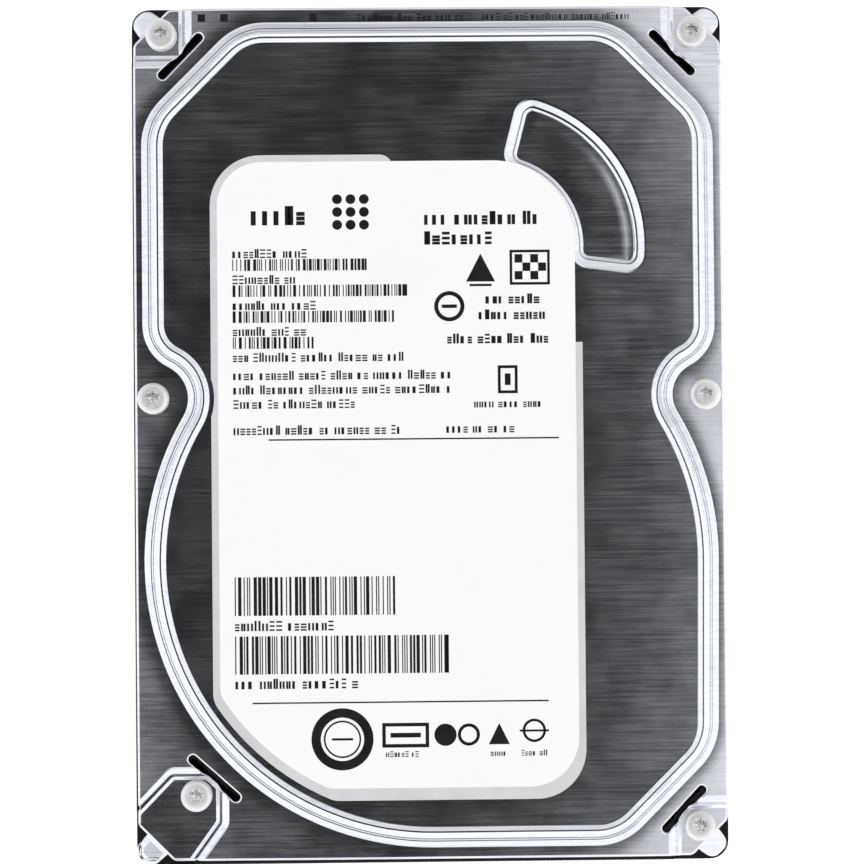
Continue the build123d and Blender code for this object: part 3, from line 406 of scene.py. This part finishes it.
def cover_plan():
    """Triangles of the cover's plan, with a row of points along every line of its sections."""
    roll_rows, roll_angles, merge = 5, range(-4, 74, 2), 1e-5
    loops = [belt_points(rim, d) for d in lines_of(rim_section) + list(flange_rows)]
    loops += [belt_points(kidney, d) for d in lines_of(kidney_section)]
    loops += [belt_points(outline, d) for d in lines_of(edge_section) + list(edge_rows)]
    for pocket in pockets:
        loops += [belt_points(pocket, d) for d in lines_of(pocket_section)]
    for tongue in tongues:
        loops += [belt_points(tongue, d) for d in lines_of(tongue_section)[:-1] + [0.0]]
    for slot in slot_belts:
        loops += [belt_points(slot, d) for d in [0.0] + lines_of(slot_section)[2:]]
    points, edges = [], []
    for loop in loops:
        first = len(points)
        points += loop
        edges += [(first + k, first + (k + 1) % len(loop)) for k in range(len(loop))]
    # rows along the strip where the recess's floor rolls down
    for row in range(roll_rows):
        reach = roll_from + (roll_to - roll_from) * row / (roll_rows - 1)
        first = len(points)
        points += [on_circle(kidney_x, kidney_y, reach, angle) for angle in roll_angles]
        edges += [(first + k, first + k + 1) for k in range(len(roll_angles) - 1)]
    points, _, triangles, *_ = delaunay_2d_cdt(points, edges, [], 0, merge)
    plan = np.array([tuple(p) for p in points])
    triangles = np.array(triangles)
    x, y = plan[triangles].mean(axis=1).T
    keep = belt_distance(outline, x, y) < 0
    for tongue in tongues:
        keep |= belt_distance(tongue, x, y) < 0
    for slot in slot_belts:
        keep &= belt_distance(slot, x, y) > 0
    triangles = triangles[keep]
    used, flat = np.unique(triangles, return_inverse=True)
    return plan[used], flat.reshape(-1, 3)


def make_cover(material):
    """Pressed sheet-metal cover: outer face, inner face and cut edges, closed."""
    thinnest = 0.12
    plan, triangles = cover_plan()
    x, y = plan.T
    top, under = cover_top(x, y), cover_under(x, y)
    under = np.minimum(under, top - thinnest)
    count = len(plan)
    points = [(*p, z) for p, z in zip(plan, top)] + [(*p, z) for p, z in zip(plan, under)]
    faces, edges = [], {}
    for a, b, c in triangles.tolist():
        faces.append((a, b, c))
        faces.append((c + count, b + count, a + count))
        for edge in ((a, b), (b, c), (c, a)):
            edges[edge] = True
    cut_edges = [(a, b) for a, b in edges if (b, a) not in edges]
    faces += [(a, a + count, b + count, b) for a, b in cut_edges]
    piece = add_object("cover_pressing", points, faces, material)
    mesh = piece.data
    mesh.shade_smooth()
    upper, lower = slopes(cover_top, x, y), -slopes(cover_under, x, y)
    normals = [None] * len(mesh.loops)
    for face in mesh.polygons:
        for loop in face.loop_indices:
            vertex = mesh.loops[loop].vertex_index
            if len(face.vertices) == 4:
                normals[loop] = tuple(face.normal)
            else:
                normals[loop] = tuple(upper[vertex] if vertex < count else lower[vertex - count])
    mesh.normals_split_custom_set(normals)
    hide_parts("top_cover")


def lathe(name, x, y, rows, material):
    """Closed piece of stacked rings round an upright axis. A row is (radius or radius(angle), height)."""
    count, sharp = 96, radians(38)
    points, faces = [], []
    for radius, height in rows:
        for k in range(count):
            angle = 2 * pi * k / count
            reach = radius(angle) if callable(radius) else radius
            points.append((x + reach * cos(angle), y + reach * sin(angle), height))
    for row in range(len(rows) - 1):
        for k in range(count):
            a, b = row * count + k, row * count + (k + 1) % count
            faces.append((a, b, b + count, a + count))
    last = (len(rows) - 1) * count
    faces.append(tuple(range(count - 1, -1, -1)))
    faces.append(tuple(range(last, last + count)))
    piece = add_object(name, points, faces, material)
    piece.data.shade_smooth()
    piece.data.set_sharp_from_angle(angle=sharp)
    return piece


def six_lobe(size):
    """Radius of a six-lobed recess as a function of the angle."""
    def radius(angle):
        wave = (0.5 + 0.5 * cos(6 * angle)) ** lobe_power
        return size * (lobe_core + (1 - lobe_core) * wave)
    return radius


def make_cover_screw(number, x, y, material, recess):
    """Low flat screw head with a rolled edge and a six-lobed recess, in place of a CAD screw."""
    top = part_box(f"cover_screw_{number}")[1].z / MM
    foot = top - head_height - head_sunk
    rows = [(head_r - foot_inset, foot), (head_r, foot + foot_rise)]
    rows += [(head_r - inset, top - fall) for inset, fall in head_section]
    rows += [(six_lobe(size), top - fall) for size, fall in lobe_section]
    rows += [(size, top - fall) for size, fall in pit_section]
    piece = lathe(f"cover_screw_head_{number}", x, y, rows, material)
    piece.data.materials.append(recess)
    # the side of the recess towards +Y takes the darker recess material: painted shade where the recess's
    # wall lies in shadow
    lean, painted_shade_from = 0.35, 0.15
    for face in piece.data.polygons:
        across, along = face.center.x / MM - x, face.center.y / MM - y
        in_recess = hypot(across, along) < recess_r and face.normal.z > -0.5
        if in_recess and along + lean * across > painted_shade_from:
            face.material_index = 1
    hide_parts(f"cover_screw_{number}")


# =================== label print ====================================================
class Print:
    """Flat ink shapes, gathered into one mesh of thin prisms. They lie at one height, or on a surface."""

    thick = 0.012
    mark_widths, mark_heights = (0.44, 0.50, 0.58), (0.74, 0.74, 1.0)
    mark_gap, group_gap, level_weight, solid_width = 0.15, 0.42, 0.8, 0.6
    module_counts = (1, 1, 2, 3)

    def __init__(self, low):
        self.low, self.points, self.faces = low, [], []

    def level(self, x, y):
        """Height that the ink lies on at a point."""
        return self.low(x, y) if callable(self.low) else self.low

    def shape(self, outline_points, hole=None):
        """Prism on an anticlockwise outline, with an optional hole of as many points."""
        rings = [outline_points] + ([hole] if hole else [])
        size, first = len(outline_points), len(self.points)
        for ring in rings:
            for lift in (0, self.thick):
                self.points += [(px, py, self.level(px, py) + lift) for px, py in ring]
        for k in range(size):
            a, b = first + k, first + (k + 1) % size
            self.faces.append((a, b, b + size, a + size))
            if hole:
                self.faces.append((b + 2 * size, a + 2 * size, a + 3 * size, b + 3 * size))
                self.faces.append((a + size, b + size, b + 3 * size, a + 3 * size))
                self.faces.append((b, a, a + 2 * size, b + 2 * size))
        if not hole:
            self.faces.append(tuple(range(first + size, first + 2 * size)))
            self.faces.append(tuple(range(first + size - 1, first - 1, -1)))

    def bar(self, x0, x1, y0, y1):
        """Solid rectangle."""
        self.shape([(x0, y0), (x1, y0), (x1, y1), (x0, y1)])

    def ring(self, x, y, outer, inner, count=40):
        """Round line."""
        turns = [360 * k / count for k in range(count)]
        self.shape([on_circle(x, y, outer, a) for a in turns], [on_circle(x, y, inner, a) for a in turns])

    def disc(self, x, y, radius, count=32):
        """Solid dot."""
        self.shape([on_circle(x, y, radius, 360 * k / count) for k in range(count)])

    def border(self, x0, x1, y0, y1, line):
        """Rectangle drawn as a line."""
        left, right, low, high = x0 + line, x1 - line, y0 + line, y1 - line
        self.shape([(x0, y0), (x1, y0), (x1, y1), (x0, y1)],
                   [(left, low), (right, low), (right, high), (left, high)])

    def greek(self, x0, x1, y0, size, draw, weight=0.2):
        """A line of stand-in type: groups of small upright, level and solid marks."""
        x, stroke = x0, weight * size
        run = draw.randint(3, 8)
        while x < x1 - 0.4 * size:
            width = draw.choice(self.mark_widths) * size
            tall = draw.choice(self.mark_heights) * size
            kind = draw.randrange(3)
            if kind == 0:
                self.bar(x, x + stroke, y0, y0 + tall)
                self.bar(x + width - stroke, x + width, y0, y0 + tall)
            elif kind == 1:
                for lift in (0, (tall - stroke) / 2, tall - stroke):
                    self.bar(x, x + width, y0 + lift, y0 + lift + self.level_weight * stroke)
            else:
                self.bar(x, x + self.solid_width * width, y0, y0 + self.mark_heights[0] * size)
            x += width + self.mark_gap * size
            run -= 1
            if run == 0:
                x += self.group_gap * size
                run = draw.randint(2, 8)

    def barcode(self, x0, x1, y0, y1, draw, module=0.17):
        """Upright bars of random widths, closed by a bar at the right."""
        x = x0
        while x < x1 - 4 * module:
            bar = draw.choice(self.module_counts) * module
            self.bar(x, x + bar, y0, y1)
            x += bar + draw.choice(self.module_counts) * module
        self.bar(x1 - 2 * module, x1, y0, y1)

    def make(self, name, material):
        """Turn the shapes into one object."""
        add_object(name, self.points, self.faces, material)


def print_label(material):
    """Generic print: stand-in type, random bar codes, rules and plain geometric marks."""
    draw = random.Random(7)
    ink = Print(paper_top)
    left, right = -33.6, 20.6
    # heading: lines of stand-in type, and a plain mark of nine dots
    ink.greek(-30.4, -18.4, 35.9, 3.3, draw, weight=0.26)
    for row in range(3):
        for column in range(3):
            ink.disc(-15.6 + 2.3 * column, 35.9 + 2.2 * row, 0.85, 20)
    ink.greek(-0.7, 19.2, 35.8, 2.3, draw, weight=0.26)
    ink.greek(-0.7, 11.2, 32.4, 2.3, draw, weight=0.26)
    # five rows of small type, with a bar code under each of the first four, and rows of type below
    pitch, first_row = 4.45, 30.3
    type_ends, code_ends = (-21.0, -22.4, -18.3, -20.3, -3.9), (-10.6, -3.7, -6.0, -19.8)
    for row, end in enumerate(type_ends):
        ink.greek(left, end, first_row - pitch * row, 1.55, draw)
    for row, end in enumerate(code_ends):
        ink.barcode(left, end, first_row - pitch * row - 2.2, first_row - pitch * row - 0.2, draw)
    for row, end in enumerate((4.3, 4.3, -12.6)):
        ink.greek(left, end, 9.4 - 2.45 * row, 1.55, draw)
    ink.greek(left, -3.8, 0.0, 1.6, draw)
    ink.greek(2.8, 14.2, 0.1, 1.5, draw)
    ink.bar(-27.6, 22.1, -1.0, -0.75)
    # plain marks at the right: triangle, chequer, ring
    ink.shape([(6.4, 26.0), (11.4, 26.0), (8.9, 30.8)])
    ink.bar(7.0, 10.8, 25.2, 25.6)
    ink.border(13.9, 20.8, 25.4, 31.4, 0.45)
    for row in range(3):
        for column in range(4):
            if (row + column) % 2 == 0:
                x, y = 14.75 + 1.35 * column, 26.3 + 1.45 * row
                ink.bar(x, x + 1.35, y, y + 1.45)
    ink.ring(3.5, 21.8, 2.6, 1.9)
    ink.bar(2.2, 4.8, 21.5, 22.1)
    ink.greek(9.7, right, 22.2, 1.7, draw, weight=0.24)
    ink.greek(8.5, right, 19.5, 1.7, draw, weight=0.24)
    ink.greek(3.1, right, 15.4, 1.7, draw, weight=0.24)
    ink.border(11.7, 15.1, 6.8, 11.6, 0.5)
    ink.bar(12.9, 13.9, 8.2, 10.2)
    ink.greek(7.6, 19.9, 4.4, 1.35, draw)
    # two tall bar codes with a row of type under each
    ink.barcode(left, -6.2, -30.9, -24.3, draw, 0.19)
    ink.greek(left, -15.5, -33.5, 1.75, draw)
    ink.barcode(left, 2.9, -40.9, -34.4, draw, 0.19)
    ink.greek(left, -12.5, -43.4, 1.75, draw)
    ink.bar(-30.7, 19.9, -45.95, -45.7)
    # row of plain marks at the foot
    ink.ring(-15.4, -52.1, 5.3, 3.7, 56)
    ink.ring(-15.4, -52.1, 3.2, 2.9, 48)
    ink.bar(-17.2, -13.6, -52.3, -51.9)
    ink.border(-8.6, -0.6, -53.6, -49.4, 0.6)
    ink.bar(-7.2, -2.0, -51.9, -51.1)
    ink.disc(2.2, -51.5, 1.9)
    ink.ring(6.2, -51.5, 1.9, 1.35)
    ink.shape([(9.6, -53.2), (13.2, -53.2), (11.4, -49.6)])
    ink.ring(17.4, -50.9, 2.0, 1.55)
    ink.bar(14.9, 19.9, -51.1, -50.75)
    for x0, x1 in ((-8.0, -2.0), (9.9, 12.9), (15.2, 19.4)):
        ink.greek(x0, x1, -55.2, 1.0, draw)
    ink.make("label_print", material)


def flange_marks(material):
    """Three small square index marks and two rows of stand-in type on the top flange."""
    sunk = 0.004

    def below_face(x, y):
        return float(cover_top(np.array([x]), np.array([y]))[0]) - sunk

    ink = Print(below_face)
    draw = random.Random(5)
    half, middle = 0.65, 71.8
    for x in (-38.7, -34.8, -19.5):
        ink.bar(x - half, x + half, middle - half, middle + half)
    ink.greek(-12.0, 7.0, 71.0, 1.4, draw)
    ink.greek(9.6, 35.5, 71.2, 1.2, draw, 0.16)
    ink.make("flange_marks", material)


# =================== underside of the board ==========================================
def board_details(gold, silk):
    """Test pads, solder joints and component outlines on the board's outer face."""
    motor_clear = 29
    head_pads_x, head_pads_y = -15.0, 50.0
    draw = random.Random(21)
    pads = Print(board_face - Print.thick)
    # round test pads, scattered clear of the spindle motor
    for _ in range(46):
        x, y = draw.uniform(-36, 36), draw.uniform(8, 60)
        if hypot(x - spindle_x, y - spindle_y) > motor_clear:
            pads.disc(x, y, draw.choice((0.45, 0.55, 0.7)), 18)
    # two rows of solder joints of the host connector
    for k in range(22):
        for y in (62.6, 64.2):
            pads.disc(3.6 + 1.7 * k, y, 0.38, 14)
    # two rows of pads of the head connector, and four pads of the motor connector
    for row in range(2):
        for k in range(10):
            x, y = head_pads_x - 5.4 + 1.2 * k, head_pads_y - 1.8 + 3.6 * row
            pads.bar(x - 0.28, x + 0.28, y - 0.5, y + 0.5)
    for k in range(4):
        x = -3.6 + 2.4 * k
        pads.bar(x - 0.6, x + 0.6, 4.9, 6.3)
    # bare rings round the board screws
    for x, y in ((-39.5, 66.5), (39.5, 58.5), (-39.5, 7.0), (39.5, 7.0)):
        pads.ring(x, y, 3.1, 2.25, 36)
    pads.make("board_pads", gold)
    # outlines, each with a dot at its first pin: (middle x, middle y, size across, size along)
    outlines = [
        (2, 44, 15, 15), (24, 40, 11.5, 13.5), (-24, 22, 10, 10), (head_pads_x, head_pads_y, 15.4, 6.6),
    ]
    lines = Print(board_face - Print.thick)
    for x, y, across, along in outlines:
        lines.border(x - across / 2, x + across / 2, y - along / 2, y + along / 2, 0.18)
        lines.disc(x - across / 2 - 0.9, y + along / 2 + 0.2, 0.35, 14)
    lines.make("board_outlines", silk)


# =================== materials ======================================================
def new_material(name):
    """A new material, its node tree and its shader."""
    material = bpy.data.materials.new(name)
    material.use_nodes = True
    tree = material.node_tree
    return material, tree, tree.nodes["Principled BSDF"]


def noise(tree, scale, stretch=(1, 1, 1), detail=3.0, roughness=0.55):
    """Noise in the piece's own space, in features per metre."""
    where = tree.nodes.new("ShaderNodeTexCoord")
    mapping = tree.nodes.new("ShaderNodeMapping")
    mapping.inputs["Scale"].default_value = tuple(scale * s for s in stretch)
    texture = tree.nodes.new("ShaderNodeTexNoise")
    texture.inputs["Scale"].default_value = 1.0
    texture.inputs["Detail"].default_value = detail
    texture.inputs["Roughness"].default_value = roughness
    tree.links.new(where.outputs["Object"], mapping.inputs["Vector"])
    tree.links.new(mapping.outputs["Vector"], texture.inputs["Vector"])
    return texture.outputs["Fac"]


def spread(tree, value, low, high):
    """A noise, most of which lies from start to end, spread over low to high."""
    start, end = 0.3, 0.7
    node = tree.nodes.new("ShaderNodeMapRange")
    node.inputs["From Min"].default_value = start
    node.inputs["From Max"].default_value = end
    node.inputs["To Min"].default_value = low
    node.inputs["To Max"].default_value = high
    node.interpolation_type = "SMOOTHSTEP"
    tree.links.new(value, node.inputs["Value"])
    return node.outputs["Result"]


def blend_colors(tree, factor, first, second):
    """Mix of two colours. Each is a tuple or the output of a node."""
    node = tree.nodes.new("ShaderNodeMix")
    node.data_type = "RGBA"
    tree.links.new(factor, node.inputs[0])
    for socket, color in ((node.inputs[6], first), (node.inputs[7], second)):
        if isinstance(color, tuple):
            socket.default_value = (*color, 1)
        else:
            tree.links.new(color, socket)
    return node.outputs[2]


def bump(tree, height, distance, below=None):
    """Fine relief, over another relief where one is given."""
    node = tree.nodes.new("ShaderNodeBump")
    node.inputs["Strength"].default_value = 1.0
    node.inputs["Distance"].default_value = distance
    tree.links.new(height, node.inputs["Height"])
    if below is not None:
        tree.links.new(below, node.inputs["Normal"])
    return node.outputs["Normal"]


def finish_of(name, light, dark, metallic, roughness, grain, stretch=(1, 1, 1), bump_mm=0.01,
              mottle=220.0, coat=0.0, specular=0.5):
    """Two tints mixed by coarse mottling and fine grain. The grain also varies gloss and relief."""
    material, tree, shader = new_material(name)
    fine = noise(tree, grain, stretch, 4.0)
    coarse = noise(tree, mottle, (1, 1, 1), 3.0)
    tint = blend_colors(tree, spread(tree, coarse, 0, 1), light, dark)
    tint = blend_colors(tree, spread(tree, fine, 0, 0.6), tint, dark)
    tree.links.new(tint, shader.inputs["Base Color"])
    tree.links.new(spread(tree, fine, roughness[0], roughness[1]), shader.inputs["Roughness"])
    tree.links.new(bump(tree, fine, bump_mm * MM), shader.inputs["Normal"])
    shader.inputs["Metallic"].default_value = metallic
    shader.inputs["Specular IOR Level"].default_value = specular
    shader.inputs["Coat Weight"].default_value = coat
    return material


def brushed_cover():
    """Bright steel sheet, brushed left to right, with faint handling marks."""
    material, tree, shader = new_material("brushed_cover")
    hair = noise(tree, 100, (0.7, 30, 30), 3.0, 0.6)
    streak = noise(tree, 100, (0.45, 9, 9), 2.0, 0.5)
    cloud = noise(tree, 110, (1, 1, 1), 4.0, 0.6)
    tint = blend_colors(tree, spread(tree, streak, 0, 1), (0.79, 0.82, 0.89), (0.70, 0.73, 0.80))
    tint = blend_colors(tree, spread(tree, cloud, 0, 0.35), tint, (0.62, 0.63, 0.68))
    tint = blend_colors(tree, spread(tree, hair, 0, 0.5), tint, (0.92, 0.93, 0.95))
    tree.links.new(tint, shader.inputs["Base Color"])
    gloss = tree.nodes.new("ShaderNodeMath")
    gloss.operation = "ADD"
    tree.links.new(spread(tree, cloud, 0.07, 0.11), gloss.inputs[0])
    tree.links.new(spread(tree, hair, 0.03, 0.06), gloss.inputs[1])
    tree.links.new(gloss.outputs[0], shader.inputs["Roughness"])
    relief = bump(tree, hair, 0.0018 * MM)
    relief = bump(tree, cloud, 0.012 * MM, below=relief)
    tree.links.new(relief, shader.inputs["Normal"])
    shader.inputs["Metallic"].default_value = 1.0
    return material


def grey(value, tint=0.0):
    """A grey, a little bluer by a tint."""
    return (value - tint, value, value + tint)


def finishes():
    """Materials of the record's slots, and of the painted shade in the screws' recesses and the two
    printing inks.
    """
    copper, copper_dark = (0.72, 0.27, 0.10), (0.4, 0.12, 0.04)
    bronze, bronze_dark = (0.78, 0.52, 0.26), (0.5, 0.3, 0.14)
    amber, amber_dark = (0.42, 0.16, 0.03), (0.28, 0.1, 0.02)
    green, green_dark = (0.012, 0.11, 0.06), (0.006, 0.055, 0.035)
    brown, brown_dark = (0.34, 0.24, 0.15), (0.2, 0.14, 0.09)
    yellow, yellow_dark = (0.95, 0.68, 0.30), (0.8, 0.5, 0.2)
    return {
        "casting": finish_of("casting_coat", grey(0.009), grey(0.004), 0.0, (0.45, 0.65), 2600,
                             bump_mm=0.02, specular=0.15),
        "cover": brushed_cover(),
        "rubber": finish_of("gasket_rubber", grey(0.03), grey(0.015), 0.0, (0.7, 0.9), 1800,
                            bump_mm=0.02),
        "cover_screw": finish_of("screw_zinc", grey(0.86), grey(0.74), 1.0, (0.36, 0.48), 1500,
                                 bump_mm=0.006),
        # painted shade: a darker copy of the screw finish, for the +Y side of each screw's recess
        "screw_recess_painted_shade": finish_of("screw_recess_painted_shade", grey(0.46), grey(0.36), 1.0, (0.3, 0.4), 1500,
                                  bump_mm=0.006),
        "label_backing": finish_of("label_foil", grey(0.72, 0.015), grey(0.64, 0.015), 0.0, (0.3, 0.45),
                                   900, bump_mm=0.004),
        "label_paper": finish_of("label_paper", grey(0.97), grey(0.95), 0.0, (0.42, 0.55), 2200,
                                 bump_mm=0.003, mottle=60.0),
        "filter": finish_of("filter_felt", grey(0.85), grey(0.6), 0.0, (0.85, 1.0), 1600, bump_mm=0.08),
        "bearing_bronze": finish_of("bearing_bronze", bronze, bronze_dark, 1.0, (0.25, 0.4), 1500),
        "plated_steel": finish_of("nickel_plate", grey(0.62), grey(0.48), 1.0, (0.25, 0.38), 1200),
        "copper_wire": finish_of("enamelled_copper", copper, copper_dark, 1.0, (0.3, 0.45), 3000,
                                 stretch=(1, 1, 6), bump_mm=0.04),
        "magnet": finish_of("magnet_nickel", grey(0.55), grey(0.42), 1.0, (0.18, 0.3), 900),
        "stainless": finish_of("stainless", grey(0.6), grey(0.46), 1.0, (0.2, 0.34), 1300,
                               stretch=(1, 10, 1)),
        "board_screw": finish_of("screw_black", grey(0.06), grey(0.03), 1.0, (0.3, 0.5), 1500),
        "machined_aluminium": finish_of("machined_aluminium", grey(0.76), grey(0.6), 1.0, (0.25, 0.4), 1400,
                                        stretch=(1, 8, 1)),
        "disk_surface": finish_of("disk_mirror", grey(0.5), grey(0.485), 1.0, (0.02, 0.06), 300,
                                  bump_mm=0.0005),
        "black_plastic": finish_of("black_plastic", grey(0.03), grey(0.014), 0.0, (0.38, 0.55), 2400,
                                   bump_mm=0.012),
        "flex_film": finish_of("flex_film", amber, amber_dark, 0.0, (0.25, 0.4), 1200),
        "board": finish_of("solder_mask", green, green_dark, 0.0, (0.28, 0.42), 420,
                           stretch=(1, 6, 1), bump_mm=0.02, coat=0.3),
        "chip": finish_of("chip_resin", grey(0.025), grey(0.015), 0.0, (0.5, 0.7), 2600, bump_mm=0.015),
        "passives": finish_of("ceramic_parts", brown, brown_dark, 0.0, (0.4, 0.6), 1500),
        "foam": finish_of("foam_pad", grey(0.05), grey(0.02), 0.0, (0.85, 1.0), 2600, bump_mm=0.08),
        "gold": finish_of("gold_flash", yellow, yellow_dark, 1.0, (0.2, 0.34), 1500),
        "ink": finish_of("printing_ink", grey(0.006), grey(0.014), 0.0, (0.5, 0.7), 2400,
                         bump_mm=0.002, specular=0.1),
        "silk": finish_of("silk_white", grey(0.8), grey(0.66), 0.0, (0.5, 0.7), 2000),
    }


# =================== stage: floor, studio light, camera ==============================
def make_floor():
    """Pale floor that shows from above only."""
    half, gap = 2.0, 0.0001
    low = cad_box[0].z - gap
    corners = [(-half, -half, low), (half, -half, low), (half, half, low), (-half, half, low)]
    mesh = bpy.data.meshes.new("floor")
    mesh.from_pydata(corners, [], [(0, 1, 2, 3)])
    floor = bpy.data.objects.new("floor", mesh)
    bpy.context.scene.collection.objects.link(floor)
    material, tree, shader = new_material("pale_floor")
    shader.inputs["Base Color"].default_value = (0.93, 0.93, 0.93, 1)
    shader.inputs["Roughness"].default_value = 0.9
    shader.inputs["Specular IOR Level"].default_value = 0.0
    shader.inputs["Emission Color"].default_value = (1, 1, 1, 1)
    shader.inputs["Emission Strength"].default_value = 0.5
    side = tree.nodes.new("ShaderNodeNewGeometry")
    clear = tree.nodes.new("ShaderNodeBsdfTransparent")
    mix = tree.nodes.new("ShaderNodeMixShader")
    tree.links.new(side.outputs["Backfacing"], mix.inputs[0])
    tree.links.new(shader.outputs[0], mix.inputs[1])
    tree.links.new(clear.outputs[0], mix.inputs[2])
    tree.links.new(mix.outputs[0], tree.nodes["Material Output"].inputs["Surface"])
    mesh.materials.append(material)


def make_studio():
    """White light tent, dimmer towards +Y, with a dark opening overhead, set a little to the left."""
    # middle and half size of the opening, in degrees from straight up
    opening_x, opening_y = -1.8, 0.0
    opening_half_x, opening_half_y = 11.4, 19.5
    corner_power, lowest, dimming = 1.8, 0.05, 0.45
    # brightness at distances from the middle, where 1 is the opening's edge
    reach = 2.5
    stops = [(0.0, 0.014), (0.7, 0.018), (0.88, 0.07), (1.0, 0.38), (1.15, 0.88), (1.7, 1.22)]
    world = bpy.data.worlds.new("light_tent")
    bpy.context.scene.world = world
    world.use_nodes = True
    tree = world.node_tree

    def math(kind, *values):
        """Output of a new math node."""
        node = tree.nodes.new("ShaderNodeMath")
        node.operation = kind
        for socket, value in zip(node.inputs, values):
            if isinstance(value, (int, float)):
                socket.default_value = value
            else:
                tree.links.new(value, socket)
        return node.outputs[0]

    def off_middle(slope, middle, half):
        """How far a slope is from the opening's middle, where 1 is the opening's edge."""
        return math("DIVIDE", math("SUBTRACT", slope, tan(radians(middle))), tan(radians(half)))

    where = tree.nodes.new("ShaderNodeTexCoord")
    split = tree.nodes.new("ShaderNodeSeparateXYZ")
    tree.links.new(where.outputs["Generated"], split.inputs[0])
    x, y, z = split.outputs
    up = math("MAXIMUM", z, lowest)
    across = off_middle(math("DIVIDE", x, up), opening_x, opening_half_x)
    along = off_middle(math("DIVIDE", y, up), opening_y, opening_half_y)
    powers = [math("POWER", math("ABSOLUTE", way), corner_power) for way in (across, along)]
    away = math("POWER", math("ADD", *powers), 1 / corner_power)
    ramp = tree.nodes.new("ShaderNodeValToRGB")
    tree.links.new(math("DIVIDE", away, reach), ramp.inputs["Fac"])
    colors = ramp.color_ramp
    colors.interpolation = "EASE"
    colors.elements[0].position = stops[0][0] / reach
    colors.elements[1].position = stops[-1][0] / reach
    for share, _ in stops[1:-1]:
        colors.elements.new(share / reach)
    for element, (_, level) in zip(colors.elements, stops):
        element.color = (level, level, level, 1)
    far_side = math("SUBTRACT", 1.0, math("MULTIPLY", math("MAXIMUM", y, 0.0), dimming))
    strength = math("MULTIPLY", ramp.outputs[0], far_side)
    tree.links.new(strength, tree.nodes["Background"].inputs["Strength"])
    tree.nodes["Background"].inputs["Color"].default_value = (1, 1, 1, 1)


def make_camera():
    """Camera almost straight above the cover, placed in millimetres and turned in degrees."""
    spot, tilt = (-6.15, -6.55, 438.7), (0.94, -0.88, -0.50)
    lens = bpy.data.cameras.new("camera")
    lens.lens = 101.95
    lens.sensor_width = 36.0
    lens.clip_start = 0.01
    camera = bpy.data.objects.new("camera", lens)
    camera.location = [distance * MM for distance in spot]
    camera.rotation_euler = [radians(angle) for angle in tilt]
    bpy.context.scene.collection.objects.link(camera)
    bpy.context.scene.camera = camera


# =================== the scene ======================================================
looks = finishes()
for part in frame["record"]["subparts"]:
    node = frame["nodes"][part["node"]]
    node.data.materials.clear()
    node.data.materials.append(looks[part["material_slot"]])

make_cover(looks["cover"])
for number, (screw_x, screw_y) in enumerate(cover_screws, 1):
    make_cover_screw(number, screw_x, screw_y, looks["cover_screw"], looks["screw_recess_painted_shade"])
print_label(looks["ink"])
flange_marks(looks["ink"])
board_details(looks["gold"], looks["silk"])
make_floor()
make_studio()
make_camera()
bpy.context.scene.view_settings.view_transform = "Standard"
